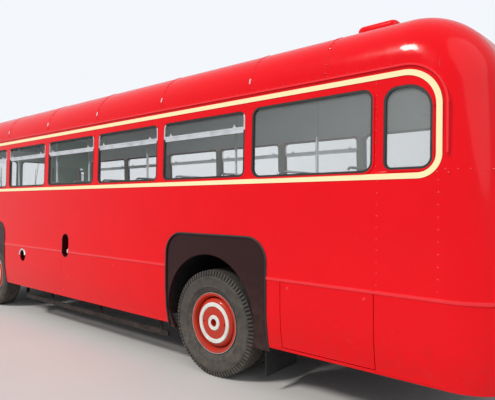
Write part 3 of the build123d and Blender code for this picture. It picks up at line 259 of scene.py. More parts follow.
def make_uneven_finish():
    """Group: slow changes of colour, uneven gloss and a fine ripple in a coat of paint."""
    inputs = [
        ("Color", "colour", (0.5, 0.5, 0.5, 1)), ("Shade", "colour", (0.4, 0.4, 0.4, 1)),
        ("Amount", "value", 0.25), ("Scale", "value", 3.0), ("Low Roughness", "value", 0.2),
        ("High Roughness", "value", 0.35), ("Ripple Scale", "value", 120.0), ("Ripple", "value", 0.02),
    ]
    tree, start, end = new_group("uneven_finish", inputs, LOOK_OUTPUTS)
    place = tree.place()
    patches = tree.spread(tree.noise(place, start["Scale"], 4.0), 0.35, 0.7, 0.0, 1.0)
    mixed = tree.blend(tree.math("MULTIPLY", patches, start["Amount"]), start["Color"], start["Shade"])
    uneven = tree.noise(place, 9.0, 6.0, 0.65)
    gloss = tree.spread(uneven, 0.3, 0.75, start["Low Roughness"], start["High Roughness"])
    bump = tree.bump(start["Ripple"], 0.002, tree.noise(place, start["Ripple Scale"], 2.0))
    return tree.close(end, Color=mixed, Roughness=gloss, Normal=bump)


def make_road_dirt():
    """Group: dust and splashes that fade out with the height above the road."""
    inputs = [
        ("Color", "colour", (0.5, 0.5, 0.5, 1)), ("Roughness", "value", 0.3),
        ("Dirt", "colour", (0.10, 0.075, 0.06, 1)), ("Top", "value", 1.0), ("Amount", "value", 0.5),
    ]
    outputs = [("Color", "colour"), ("Roughness", "value"), ("Mask", "value")]
    tree, start, end = new_group("road_dirt", inputs, outputs)
    low = tree.spread(tree.along("Z"), 0.25, start["Top"], 1.0, 0.0)
    spots = tree.spread(tree.noise(tree.place(), 14.0, 8.0, 0.7), 0.38, 0.72, 0.0, 1.0)
    mask = tree.math("MULTIPLY", tree.math("MULTIPLY", low, spots), start["Amount"], clamp=True)
    mixed = tree.blend(mask, start["Color"], start["Dirt"])
    rough = tree.math("ADD", start["Roughness"], tree.math("MULTIPLY", mask, 0.5), clamp=True)
    return tree.close(end, Color=mixed, Roughness=rough, Mask=mask)


def make_drawn_metal():
    """Group: fine lines along one direction, as drawn or brushed metal has."""
    inputs = [
        ("Color", "colour", (0.8, 0.8, 0.8, 1)), ("Tarnish", "colour", (0.5, 0.5, 0.48, 1)),
        ("Stretch", "vector", (2.0, 120.0, 120.0)), ("Low Roughness", "value", 0.2),
        ("High Roughness", "value", 0.4), ("Depth", "value", 0.1),
    ]
    tree, start, end = new_group("drawn_metal", inputs, LOOK_OUTPUTS)
    place = tree.place()
    drawn = tree.node("ShaderNodeVectorMath", {0: place, 1: start["Stretch"]}, operation="MULTIPLY")
    lines = tree.noise(drawn.outputs[0], 1.0, 3.0)
    patches = tree.spread(tree.noise(place, 7.0, 5.0), 0.45, 0.8, 0.0, 1.0)
    mixed = tree.blend(patches, start["Color"], start["Tarnish"])
    gloss = tree.spread(lines, 0.3, 0.7, start["Low Roughness"], start["High Roughness"])
    bump = tree.bump(start["Depth"], 0.0005, lines)
    return tree.close(end, Color=mixed, Roughness=gloss, Normal=bump)


def make_pebbled_skin():
    """Group: cells of a moulded or leather surface, with painted shade darkening its creases."""
    inputs = [
        ("Color", "colour", (0.2, 0.1, 0.1, 1)), ("Crease Shade", "colour", (0.05, 0.03, 0.03, 1)),
        ("Scale", "value", 180.0), ("Low Roughness", "value", 0.4), ("High Roughness", "value", 0.6),
        ("Depth", "value", 0.3),
    ]
    tree, start, end = new_group("pebbled_skin", inputs, LOOK_OUTPUTS)
    place = tree.place()
    cells = tree.node("ShaderNodeTexVoronoi", {"Vector": place, "Scale": start["Scale"]}).outputs["Distance"]
    worn = tree.noise(place, 6.0, 6.0, 0.6)
    # Painted shade: the colour darkens in the creases, where the cells' bump is lowest; the worn noise adds darker
    # patches at random
    crease_shade = tree.spread(cells, 0.25, 0.6, 0.0, 0.7)
    shade = tree.math("ADD", crease_shade, tree.spread(worn, 0.5, 0.75, 0.0, 0.4), clamp=True)
    mixed = tree.blend(shade, start["Color"], start["Crease Shade"])
    gloss = tree.spread(worn, 0.3, 0.7, start["Low Roughness"], start["High Roughness"])
    bump = tree.bump(start["Depth"], 0.001, tree.math("MULTIPLY", cells, -1.0))
    return tree.close(end, Color=mixed, Roughness=gloss, Normal=bump)


GROUP_MAKERS = {
    "uneven_finish": make_uneven_finish,
    "road_dirt": make_road_dirt,
    "drawn_metal": make_drawn_metal,
    "pebbled_skin": make_pebbled_skin,
}


# Materials

def rgba(value, factor=1.0):
    """Colour with alpha, darkened or lightened by a factor."""
    return (*(min(part * factor, 1) for part in value[:3]), 1)


class Surface(Tree):
    """A material with its Principled BSDF, fed by shared groups."""

    def __init__(self, name):
        self.material = bpy.data.materials.new(name)
        self.material.use_nodes = True
        super().__init__(self.material.node_tree)
        self.shader = self.tree.nodes["Principled BSDF"]

    def group(self, name, links):
        """Outputs of a shared group, which is made on first use."""
        shared = bpy.data.node_groups.get(name) or GROUP_MAKERS[name]()
        return self.node("ShaderNodeGroup", links, node_tree=shared).outputs

    def feed(self, look, **links):
        """Fill inputs of the Principled BSDF from a group and by name, with underscores for spaces."""
        for key, value in {"Base_Color": look["Color"], "Roughness": look["Roughness"], **links}.items():
            self.fill(self.shader.inputs[key.replace("_", " ")], value)
        return self.material


def painted(name, paint, low=0.12, high=0.3, dirt=0.5, dirt_top=1.1, coat=0.25, ripple=0.03, shade=0.75):
    """Sprayed paint on a panel, with road dirt low down."""
    surface = Surface(name)
    clean = surface.group("uneven_finish", {
        "Color": rgba(paint), "Shade": rgba(paint, shade), "Low Roughness": low, "High Roughness": high,
        "Ripple": ripple,
    })
    dirty = surface.group("road_dirt", {
        "Color": clean["Color"], "Roughness": clean["Roughness"], "Top": dirt_top, "Amount": dirt,
    })
    return surface.feed(
        dirty, Normal=clean["Normal"], Specular_IOR_Level=0.1, Coat_Weight=coat, Coat_Roughness=0.06
    )


def bare_metal(name, tone, tarnish, stretch, low=0.15, high=0.35):
    """Polished or drawn metal."""
    surface = Surface(name)
    drawn = surface.group("drawn_metal", {
        "Color": rgba(tone), "Tarnish": rgba(tarnish), "Stretch": stretch, "Low Roughness": low,
        "High Roughness": high,
    })
    return surface.feed(drawn, Normal=drawn["Normal"], Metallic=1.0)


def pebbled(name, tone, crease_shade, scale, low, high, depth, dirt=0.0, dirt_top=1.0):
    """Rubber, hide or moulded plastic, with painted shade in the creases of its grain."""
    surface = Surface(name)
    skin = surface.group("pebbled_skin", {
        "Color": rgba(tone), "Crease Shade": rgba(crease_shade), "Scale": scale, "Low Roughness": low,
        "High Roughness": high, "Depth": depth,
    })
    dirty = surface.group("road_dirt", {
        "Color": skin["Color"], "Roughness": skin["Roughness"], "Top": dirt_top, "Amount": dirt,
        "Dirt": (0.20, 0.17, 0.135, 1),
    })
    return surface.feed(dirty, Normal=skin["Normal"])


def clear_glass(name, tint, dust, clear=0.04, dusty=0.13, mirror=0.8, ior=1.5):
    """Window glass: see-through face on, more mirror-like at a slant, and dustier towards the rear. Its pale grey
    colour, lit by the lamps, is a painted reflection of the sky.
    """
    surface = Surface(name)
    pane = surface.group("uneven_finish", {
        "Color": rgba(tint), "Shade": rgba(tint, 0.7), "Low Roughness": 0.01, "High Roughness": 0.05,
        "Ripple": 0.006, "Ripple Scale": 5.0,
    })
    rearward = surface.spread(surface.along("X"), REAR_AXLE_X - 1.0, REAR_AXLE_X + 2.1, 0.0, 1.0)
    # The pale grey pane colour, lit by the lamps, stands in for the sky's reflection: painted reflection, blended to
    # the paler dust colour towards the rear
    colour = surface.blend(rearward, pane["Color"], rgba(dust))
    film = surface.math("ADD", surface.math("MULTIPLY", rearward, dusty), clear)
    # The ratio is turned over where light leaves the glass, or the far face would mirror everything
    leaving = surface.node("ShaderNodeNewGeometry").outputs["Backfacing"]
    ratio = surface.spread(leaving, 0.0, 1.0, ior, 1 / ior)
    slant = surface.node("ShaderNodeFresnel", {"IOR": ratio}).outputs["Fac"]
    alpha = surface.math("ADD", surface.math("MULTIPLY", slant, mirror), film, clamp=True)
    return surface.feed(pane, Base_Color=colour, Normal=pane["Normal"], Alpha=alpha, Specular_IOR_Level=0.8)


def ribbed_lens(name, tint, rough=0.08):
    """Moulded lamp lens with fine ribs."""
    surface = Surface(name)
    bump = surface.bump(0.35, 0.001, surface.waves(55.0, 0.0))
    lens = surface.group("uneven_finish", {
        "Color": rgba(tint), "Shade": rgba(tint, 0.6), "Low Roughness": rough, "High Roughness": rough + 0.1,
    })
    return surface.feed(lens, Normal=bump, Coat_Weight=1.0, Coat_Roughness=0.03)


def slatted_floor(name, tone, gap):
    """Floor covering with fine ridges along the bus."""
    surface = Surface(name)
    ridges = surface.waves(26.0, 0.2)
    worn = surface.noise(surface.place(), 5.0, 6.0)
    mask = surface.math(
        "MULTIPLY", surface.spread(ridges, 0.2, 0.5, 1.0, 0.0), surface.spread(worn, 0.3, 0.6, 0.5, 1)
    )
    look = {"Color": surface.blend(mask, rgba(tone), rgba(gap)),
            "Roughness": surface.spread(worn, 0.3, 0.7, 0.45, 0.75)}
    return surface.feed(look, Normal=surface.bump(0.5, 0.003, ridges))


def make_finishes(paint):
    """All materials of the bus, by name."""
    along, upright, across = (2.0, 120.0, 120.0), (120.0, 120.0, 2.0), (120.0, 2.0, 120.0)
    bare = dict(dirt=0.0, coat=0.0)
    inside = dict(low=0.35, high=0.5, dirt=0.0, coat=0.1)
    makers = {
        painted: {
            "body_paint": dict(paint=paint.body, dirt=0.15, shade=0.86),
            "band_paint": dict(paint=paint.band, dirt=0.1, shade=0.9),
            "arch_paint": dict(paint=paint.arch, low=0.25, high=0.45, dirt=0.55),
            "wheel_paint": dict(paint=paint.wheel, low=0.2, high=0.4, dirt=0.6, dirt_top=0.9),
            "ring_paint": dict(paint=paint.ring, low=0.2, high=0.4, dirt_top=0.9, shade=0.85),
            "chassis_paint": dict(paint=(0.016, 0.016, 0.018), low=0.4, high=0.65, dirt=0.7, coat=0.0),
            "lining_paint": dict(paint=paint.lining, **inside),
            "ceiling_paint": dict(paint=paint.ceiling, shade=0.9, **inside),
            "engine_paint": dict(paint=(0.10, 0.12, 0.13), low=0.4, high=0.6, coat=0.0),
            "blind_cloth": dict(paint=(0.012, 0.012, 0.013), low=0.7, high=0.85, **bare),
            # Near-black painted shade for the grooves and hollows of the wheels
            "dark_hole": dict(paint=(0.006, 0.005, 0.005), low=0.7, high=0.9, **bare),
            "plate_black": dict(paint=(0.014, 0.014, 0.015), low=0.3, high=0.45, dirt=0.3, coat=0.1),
            # Lighter red for beads, rivets and latches: painted highlight
            "bead_red": dict(paint=paint.bead, low=0.15, dirt=0.3, shade=0.8, coat=0.8),
            # Body red at a tenth of its brightness: painted shade inside the openings
            "recess_red": dict(paint=rgba(paint.body, 0.09), low=0.5, high=0.7, dirt=0.2, coat=0.0),
        },
        bare_metal: {
            "bright_alloy": dict(tone=(0.86, 0.87, 0.88), tarnish=(0.62, 0.63, 0.64), stretch=along),
            "chrome": dict(
                tone=(0.92, 0.92, 0.93), tarnish=(0.75, 0.75, 0.76), stretch=across, low=0.04, high=0.14
            ),
            "rim_metal": dict(
                tone=(0.50, 0.48, 0.46), tarnish=(0.30, 0.24, 0.20), stretch=upright, low=0.25, high=0.5
            ),
            "exhaust_iron": dict(
                tone=(0.20, 0.13, 0.09), tarnish=(0.09, 0.05, 0.035), stretch=along, low=0.6, high=0.85
            ),
            "mirror_glass": dict(
                tone=(0.90, 0.91, 0.92), tarnish=(0.86, 0.87, 0.88), stretch=across, low=0.02, high=0.05
            ),
        },
        pebbled: {
            # Each darker crease colour below is painted shade in the creases of the grain
            "black_rubber": dict(
                tone=(0.018, 0.017, 0.017), crease_shade=(0.006, 0.006, 0.006), scale=300.0, low=0.45, high=0.65,
                depth=0.15,
            ),
            "tyre_rubber": dict(
                tone=(0.055, 0.051, 0.046), crease_shade=(0.022, 0.020, 0.018), scale=220.0, low=0.6, high=0.85,
                depth=0.3, dirt=0.55, dirt_top=1.6,
            ),
            # Darker rubber for the shoulder band between the lugs: painted shade
            "tyre_groove": dict(
                tone=(0.012, 0.011, 0.010), crease_shade=(0.004, 0.004, 0.004), scale=220.0, low=0.7, high=0.9,
                depth=0.3,
            ),
            "seat_hide": dict(
                tone=paint.hide, crease_shade=rgba(paint.hide, 0.35), scale=160.0, low=0.38, high=0.6, depth=0.3
            ),
            "dash_black": dict(
                tone=(0.02, 0.02, 0.021), crease_shade=(0.01, 0.01, 0.01), scale=260.0, low=0.35, high=0.55,
                depth=0.25,
            ),
        },
        # Pale grey tint of the panes: painted reflection of the sky
        clear_glass: {"window_glass": dict(tint=(0.27, 0.315, 0.33), dust=(0.57, 0.62, 0.63))},
        slatted_floor: {"floor_brown": dict(tone=(0.16, 0.095, 0.055), gap=(0.05, 0.03, 0.02))},
        ribbed_lens: {
            "clear_lens": dict(tint=(0.70, 0.72, 0.72)),
            "red_lens": dict(tint=(0.42, 0.006, 0.008)),
            "cream_lens": dict(tint=(0.88, 0.84, 0.72), rough=0.25),
        },
    }
    return {
        name: make(name, **settings) for make, finishes in makers.items() for name, settings in finishes.items()
    }


FINISHES = {}


# Mesh helpers

def new_piece(name, mesh_builder, finishes, body, smooth=35):
    """Object made from a bmesh, riding on a CAD body. Faces smooth over up to an angle."""
    mesh = bpy.data.meshes.new(name)
    mesh_builder.to_mesh(mesh)
    mesh_builder.free()
    for finish in finishes:
        mesh.materials.append(FINISHES[finish])
    if smooth:
        mesh.shade_smooth()
        mesh.set_sharp_from_angle(angle=math.radians(smooth))
    piece = bpy.data.objects.new(name, mesh)
    bpy.context.scene.collection.objects.link(piece)
    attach(piece, body)
    return piece


def merged_copy(node):
    """The mesh of a CAD node with its doubles merged."""
    builder = bmesh.new()
    builder.from_mesh(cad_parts[node].data)
    bmesh.ops.remove_doubles(builder, verts=builder.verts, dist=0.00003)
    return builder


def dress(node, finishes, body="body", choose=None, smooth=32):
    """Smooth painted copy of a CAD node, which it stands for. choose picks a finish by face."""
    builder = merged_copy(node)
    for face in builder.faces:
        face.material_index = choose(face) if choose else 0
    piece = new_piece(f"finished_{node}", builder, finishes, body, smooth)
    weighted = piece.modifiers.new("even_shading", "WEIGHTED_NORMAL")
    weighted.keep_sharp = True
    weighted.weight = 80
    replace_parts(piece, node)
    return piece


def add_box(builder, low, high, bevel=0.0, slot=0, turn=None):
    """Box between two corners with rounded edges, turned about its middle if asked."""
    low, high = Vector(low), Vector(high)
    box = bmesh.new()
    bmesh.ops.create_cube(box, size=1.0)
    bmesh.ops.scale(box, vec=high - low, verts=box.verts)
    if bevel:
        bmesh.ops.bevel(
            box, geom=box.edges[:], offset=bevel, segments=2, profile=0.6, affect="EDGES", clamp_overlap=True
        )
    place = Matrix.Translation((low + high) / 2) @ (turn or Matrix.Identity(4))
    bmesh.ops.transform(box, matrix=place, verts=box.verts)
    for face in box.faces:
        face.material_index = slot
    mesh = bpy.data.meshes.new("box")
    box.to_mesh(mesh)
    box.free()
    builder.from_mesh(mesh)
    bpy.data.meshes.remove(mesh)


def add_lathe(builder, profile, centre, axis, steps=64, closed=True):
    """Turned form. A point of the profile is radius, distance along the axis and slot of the next band."""
    axis = Vector(axis).normalized()
    side = axis.orthogonal().normalized()
    third = axis.cross(side)
    centre = Vector(centre)
    rings = []
    for radius, along, _ in profile:
        middle = centre + axis * along
        if radius < 1e-6:
            rings.append([builder.verts.new(middle)])
            continue
        turns = [2 * math.pi * k / steps for k in range(steps)]
        rings.append([
            builder.verts.new(middle + (side * math.cos(a) + third * math.sin(a)) * radius) for a in turns
        ])
    pairs = list(zip(range(len(rings)), range(1, len(rings))))
    if closed:
        pairs.append((len(rings) - 1, 0))
    made = []
    for first, second in pairs:
        a, b = rings[first], rings[second]
        for k in range(steps):
            corners = [a[k % len(a)], a[(k + 1) % len(a)], b[(k + 1) % len(b)], b[k % len(b)]]
            unique = list(dict.fromkeys(corners))
            if len(unique) > 2:
                face = builder.faces.new(unique)
                face.material_index = profile[first][2]
                made.append(face)
    bmesh.ops.recalc_face_normals(builder, faces=made)


def rounded_path(points, radius, steps=5):
    """Points of a line with its corners rounded."""
    points = [Vector(p) for p in points]
    path = [points[0]]
    for before, corner, after in zip(points, points[1:], points[2:]):
        arm = min(radius, (before - corner).length / 2, (after - corner).length / 2)
        start = corner + (before - corner).normalized() * arm
        stop = corner + (after - corner).normalized() * arm
        for k in range(steps + 1):
            t = k / steps
            path.append(start * (1 - t) ** 2 + corner * 2 * t * (1 - t) + stop * t * t)
    path.append(points[-1])
    return path


def add_tube(builder, path, radius, sides=10, slot=0):
    """Round tube with capped ends along a path."""
    path = [Vector(p) for p in path]
    side = (path[1] - path[0]).orthogonal().normalized()
    rings = []
    for k, point in enumerate(path):
        way = (path[min(k + 1, len(path) - 1)] - path[max(k - 1, 0)]).normalized()
        side = (side - way * side.dot(way)).normalized()
        third = way.cross(side)
        turns = [2 * math.pi * j / sides for j in range(sides)]
        rings.append([builder.verts.new(point + (side * math.cos(a) + third * math.sin(a)) * radius) for a in turns])
    faces = []
    for a, b in zip(rings, rings[1:]):
        for k in range(sides):
            faces.append(builder.faces.new([a[k], a[(k + 1) % sides], b[(k + 1) % sides], b[k]]))
    faces.append(builder.faces.new(rings[0][::-1]))
    faces.append(builder.faces.new(rings[-1]))
    for face in faces:
        face.material_index = slot


def side_skin(x, z, side, out=0.0):
    """Point on the flat of a body side and its outward direction."""
    if z >= WAIST_Z:
        normal = Vector((0, side * math.cos(SIDE_LEAN), math.sin(SIDE_LEAN)))
        y = HALF_WIDTH - (z - WAIST_Z) * math.tan(SIDE_LEAN)
    else:
        drop = max(TURN_UNDER_Z - z, 0)
        y = HALF_WIDTH - (TURN_UNDER_BEND - math.sqrt(TURN_UNDER_BEND**2 - drop**2))
        tilt = math.asin(drop / TURN_UNDER_BEND)
        normal = Vector((0, side * math.cos(tilt), -math.sin(tilt)))
    return Vector((x, side * y, z)) + normal * out, normal


def roof_skin(x, count, out=0.0):
    """Points and outward directions across the roof, from cove to cove."""
    cos_lean, sin_lean = math.cos(SIDE_LEAN), math.sin(SIDE_LEAN)
    reach = HALF_WIDTH * cos_lean + WAIST_Z * sin_lean - CORNER_RADIUS
    across = reach + (CROWN_RADIUS - ROOF_Z) * sin_lean
    up = math.sqrt((CROWN_RADIUS - CORNER_RADIUS) ** 2 - across**2)
    middle_y = across * cos_lean - up * sin_lean
    middle_z = ROOF_Z - CROWN_RADIUS + across * sin_lean + up * cos_lean
    crown_turn = math.atan2(middle_y, middle_z - (ROOF_Z - CROWN_RADIUS))
    half = []
    for k in range(count):
        turn = SIDE_LEAN + (math.pi / 2 - crown_turn - SIDE_LEAN) * k / count
        normal = Vector((0, math.cos(turn), math.sin(turn)))
        half.append((Vector((x, middle_y, middle_z)) + normal * (CORNER_RADIUS + out), normal))
    for k in range(count + 1):
        turn = crown_turn * (1 - k / count)
        normal = Vector((0, math.sin(turn), math.cos(turn)))
        half.append((Vector((x, 0, ROOF_Z - CROWN_RADIUS)) + normal * (CROWN_RADIUS + out), normal))
    mirrored = [(Vector((p.x, -p.y, p.z)), Vector((n.x, -n.y, n.z))) for p, n in half[:-1]]
    return half + mirrored[::-1]


def rear_wrap(z, start_x, stop_y, side, out=0.0):
    """Points and outward directions at one height from a side round the corner to the rear."""
    lean = z - WAIST_Z
    width = HALF_WIDTH - lean * math.tan(SIDE_LEAN)
    back = END_X - lean * math.tan(REAR_LEAN)
    path = []
    for k in range(6):
        x = start_x + (back - CORNER_RADIUS - start_x) * k / 6
        path.append(side_skin(x, z, side, out))
    for k in range(13):
        turn = math.pi / 2 * (1 - k / 12)
        normal = Vector((math.cos(turn), side * math.sin(turn), 0.05)).normalized()
        middle = Vector((back - CORNER_RADIUS, side * (width - CORNER_RADIUS), z))
        path.append((middle + normal * (CORNER_RADIUS + out), normal))
    normal = Vector((math.cos(REAR_LEAN), 0, math.sin(REAR_LEAN)))
    for k in range(1, 5):
        y = (width - CORNER_RADIUS) + (stop_y - width + CORNER_RADIUS) * k / 4
        path.append((Vector((back, side * y, z)) + normal * out, normal))
    return path


# Repeated fastenings, made by Geometry Nodes

def make_stud_row():
    """Geometry group: heads spaced along lines, each standing up along the lines' stored direction."""
    inputs = [
        ("Lines", "shape"), ("Pitch", "value", 0.076), ("Radius", "value", 0.006), ("Height", "value", 0.003),
        ("Finish", "finish"),
    ]
    tree, start, end = new_group("stud_row", inputs, [("Heads", "shape")], "GeometryNodeTree")
    direction = tree.node("GeometryNodeInputNamedAttribute", {"Name": "out"}, data_type="FLOAT_VECTOR")
    curve = tree.node("GeometryNodeMeshToCurve", {"Mesh": start["Lines"]})
    spaced = tree.node(
        "GeometryNodeResampleCurve", {"Curve": curve.outputs[0], "Length": start["Pitch"]}, mode="LENGTH"
    )
    head = tree.node("GeometryNodeMeshUVSphere", {"Segments": 8, "Rings": 5, "Radius": 1.0})
    size = tree.node("ShaderNodeCombineXYZ", {0: start["Radius"], 1: start["Radius"],
                                              2: start["Height"]})
    turn = tree.node(
        "FunctionNodeAlignRotationToVector", {"Vector": direction.outputs["Attribute"]}, axis="Z"
    )
    placed = tree.node("GeometryNodeInstanceOnPoints", {
        "Points": spaced.outputs[0], "Instance": head.outputs["Mesh"], "Rotation": turn.outputs[0],
        "Scale": size.outputs[0],
    })
    real = tree.node("GeometryNodeRealizeInstances", {"Geometry": placed.outputs[0]})
    smooth = tree.node("GeometryNodeSetShadeSmooth", {"Geometry": real.outputs[0]})
    coloured = tree.node("GeometryNodeSetMaterial", {
        "Geometry": smooth.outputs[0], "Material": start["Finish"],
    })
    return tree.close(end, Heads=coloured.outputs[0])


def make_lug_ring():
    """Geometry group: lugs set round the two edges of a wheel that turns about Y."""
    inputs = [
        ("Base", "shape"), ("Count", "count", 60), ("Radius", "value", 0.5), ("Offset", "value", 0.1),
        ("Lug", "vector", (0.01, 0.03, 0.03)), ("Centre", "vector"), ("Finish", "finish"),
    ]
    tree, start, end = new_group("lug_ring", inputs, [("Lugs", "shape")], "GeometryNodeTree")
    circle = tree.node(
        "GeometryNodeMeshCircle", {"Vertices": start["Count"], "Radius": start["Radius"]}
    )
    block = tree.node("GeometryNodeMeshCube", {"Size": start["Lug"]})
    place = tree.node("GeometryNodeInputPosition")
    turn = tree.node("FunctionNodeAlignRotationToVector", {"Vector": place.outputs[0]}, axis="X", pivot_axis="Z")
    both = tree.node("GeometryNodeJoinGeometry")
    for way in (-1.0, 1.0):
        leaning = tree.node("GeometryNodeTransform", {
            "Geometry": block.outputs["Mesh"], "Rotation": (0.0, way * SHOULDER_LEAN, 0.0),
        })
        ring = tree.node("GeometryNodeInstanceOnPoints", {
            "Points": circle.outputs[0], "Instance": leaning.outputs[0], "Rotation": turn.outputs[0],
        })
        shift = tree.node("ShaderNodeMath", {0: start["Offset"], 1: way}, operation="MULTIPLY")
        vector = tree.node("ShaderNodeCombineXYZ", {2: shift.outputs[0]})
        moved = tree.node("GeometryNodeTransform", {
            "Geometry": ring.outputs[0], "Translation": vector.outputs[0],
            "Rotation": (0.0, 0.0, math.pi / 60 if way > 0 else 0.0),
        })
        tree.tree.links.new(moved.outputs[0], both.inputs[0])
    upright = tree.node("GeometryNodeTransform", {
        "Geometry": both.outputs[0], "Translation": start["Centre"], "Rotation": (math.pi / 2, 0.0, 0.0),
    })
    real = tree.node("GeometryNodeRealizeInstances", {"Geometry": upright.outputs[0]})
    coloured = tree.node("GeometryNodeSetMaterial", {
        "Geometry": real.outputs[0], "Material": start["Finish"],
    })
    return tree.close(end, Lugs=coloured.outputs[0])


def grow_nodes(name, base, group, values, body):
    """Run a geometry group on a base mesh and keep its result as a plain mesh on a body."""
    host = bpy.data.objects.new(name, base)
    bpy.context.scene.collection.objects.link(host)
    modifier = host.modifiers.new("nodes", "NODES")
    modifier.node_group = group
    sockets = {item.name: item.identifier for item in group.interface.items_tree if item.in_out == "INPUT"}
    for label, value in values.items():
        modifier[sockets[label]] = value
    host.update_tag()
    grown = bpy.data.meshes.new_from_object(host.evaluated_get(bpy.context.evaluated_depsgraph_get()))
    host.modifiers.clear()
    host.data = grown
    grown.name = name
    bpy.data.meshes.remove(base)
    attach(host, body)
    return host


def line_mesh(lines):
    """Mesh of open lines, each a list of points with their outward directions."""
    mesh = bpy.data.meshes.new("lines")
    points, edges, ways = [], [], []
    for line in lines:
        for k, (point, way) in enumerate(line):
            if k:
                edges.append((len(points) - 1, len(points)))
            points.append(point)
            ways.append(way)
    mesh.from_pydata(points, edges, [])
    stored = mesh.attributes.new("out", "FLOAT_VECTOR", "POINT")
    stored.data.foreach_set("vector", [c for way in ways for c in way])
    return mesh


def stud_lines(name, lines, pitch, radius, height, finish, body="body"):
    """Rivets or screws along lines."""
    group = bpy.data.node_groups.get("stud_row") or make_stud_row()
    values = {"Pitch": pitch, "Radius": radius, "Height": height, "Finish": FINISHES[finish]}
    return grow_nodes(name, line_mesh(lines), group, values, body)


def add_ribbon(builder, path, half_width, thickness, across, slot=0):
    """Flat strip with slightly raised middle along a path of points and outward directions."""
    rows = []
    for (point, way), side in zip(path, across):
        side = Vector(side)
        low = point - way * 0.001
        high = point + way * thickness
        rows.append([
            builder.verts.new(low - side * half_width), builder.verts.new(high - side * half_width * 0.7),
            builder.verts.new(high + side * half_width * 0.7), builder.verts.new(low + side * half_width),
        ])
    made = []
    for a, b in zip(rows, rows[1:]):
        for k in range(4):
            made.append(builder.faces.new([a[k], a[(k + 1) % 4], b[(k + 1) % 4], b[k]]))
    made.append(builder.faces.new(rows[0]))
    made.append(builder.faces.new(rows[-1][::-1]))
    bmesh.ops.recalc_face_normals(builder, faces=made)
    for face in made:
        face.material_index = slot


def window_outline(span, inset, radii, steps=5):
    """Rounded outline of a side window as x and z, with a point at the rail's height on each upright.

    The radii are those of the lower front, lower rear, upper rear and upper front corners."""
    low = (span[0] + inset, SILL_Z + inset)
    high = (span[1] - inset, HEAD_Z - inset)
    outline = []
    for radius, end, row, start in zip(radii, (0, 1, 1, 0), (0, 0, 1, 1), (180, 270, 0, 90)):
        x = high[0] - radius if end else low[0] + radius
        z = high[1] - radius if row else low[1] + radius
        if start == 0:
            outline.append((high[0], DROP_TOP))
        for k in range(steps + 1):
            turn = math.radians(start + 90 * k / steps)
            outline.append((x + radius * math.cos(turn), z + radius * math.sin(turn)))
    outline.append((low[0], DROP_TOP))
    return outline


def channel_slot(a, b):
    """Bright metal on the uprights above the rail, black rubber elsewhere."""
    middle_z = (a[1] + b[1]) / 2
    return 1 if middle_z > DROP_TOP and abs(b[1] - a[1]) > abs(b[0] - a[0]) else 2


def add_ring(builder, outer, inner, side, depth, slot_of):
    """Frame in a body side between two outlines of x and z, from one depth below the skin to another."""
    count = len(outer)
    rings = []
    for outline in (outer, inner):
        for below in depth:
            rings.append([builder.verts.new(side_skin(x, z, side, -below)[0]) for x, z in outline])
    outer_front, outer_back, inner_front, inner_back = rings
    made = []
    for a in range(count):
        b = (a + 1) % count
        slot = slot_of(outer[a], outer[b])
        for one, other in (
            (outer_front, inner_front), (inner_front, inner_back), (inner_back, outer_back), (outer_back, outer_front)
        ):
            face = builder.faces.new([one[a], one[b], other[b], other[a]])
            face.material_index = slot
            made.append(face)
    bmesh.ops.recalc_face_normals(builder, faces=made)


def add_bar(builder, span_x, span_z, side, depth, slot=0):
    """Straight bar let into a body side."""
    ends = []
    for x in span_x:
        ends.append([
            builder.verts.new(side_skin(x, z, side, -below)[0])
            for z, below in ((span_z[0], depth[0]), (span_z[1], depth[0]), (span_z[1], depth[1]), (span_z[0], depth[1]))
        ])
    made = [builder.faces.new(ends[0]), builder.faces.new(ends[1][::-1])]
    for k in range(4):
        made.append(builder.faces.new([ends[0][k], ends[1][k], ends[1][(k + 1) % 4], ends[0][(k + 1) % 4]]))
    bmesh.ops.recalc_face_normals(builder, faces=made)
    for face in made:
        face.material_index = slot


def oval_outline(x, z, radius, stretch, steps=24):
    """Upright oval of two half circles, as x and z."""
    outline = []
    for k in range(steps):
        turn = 2 * math.pi * (k + 0.5) / steps
        up = stretch if math.sin(turn) > 0 else -stretch
        outline.append((x + radius * math.cos(turn), z + up + radius * math.sin(turn)))
    return outline


# Body

def inside_axis(point):
    """Nearest point of the line along the middle of the saloon."""
    return Vector((min(max(point.x, -3.3), 3.2), 0, 1.9))


def shell_slot(face):
    """Finish of a face of the shell: outside, lower lining or ceiling."""
    middle = face.calc_center_median()
    inward = (inside_axis(middle) - middle).normalized()
    if face.normal.dot(inward) < 0.35:
        return 0
    return 2 if middle.z > HEAD_Z - 0.02 or face.normal.z < -0.4 else 1


def under_slot(face):
    """Finish of a face of the lower panels: outside or underside."""
    middle = face.calc_center_median()
    inward = Vector((min(max(middle.x, -3.9), 3.9), 0, middle.z)) - middle
    return 1 if face.normal.dot(inward.normalized()) > 0.3 else 0


class BUS_OT_body_panels(bpy.types.Operator):
    """Paint the shell outside and line it inside"""

    bl_idname = "bus.body_panels"
    bl_label = "Body panels"

    def execute(self, context):
        shell = ["body_paint", "lining_paint", "ceiling_paint"]
        for node in ("nearside_wall", "offside_wall", "roof", "front_end", "rear_end"):
            dress(node, shell, choose=shell_slot)
        dress("lower_panels", ["body_paint", "chassis_paint"], choose=under_slot)
        dress("roof_ventilators", ["body_paint"])
        return {"FINISHED"}


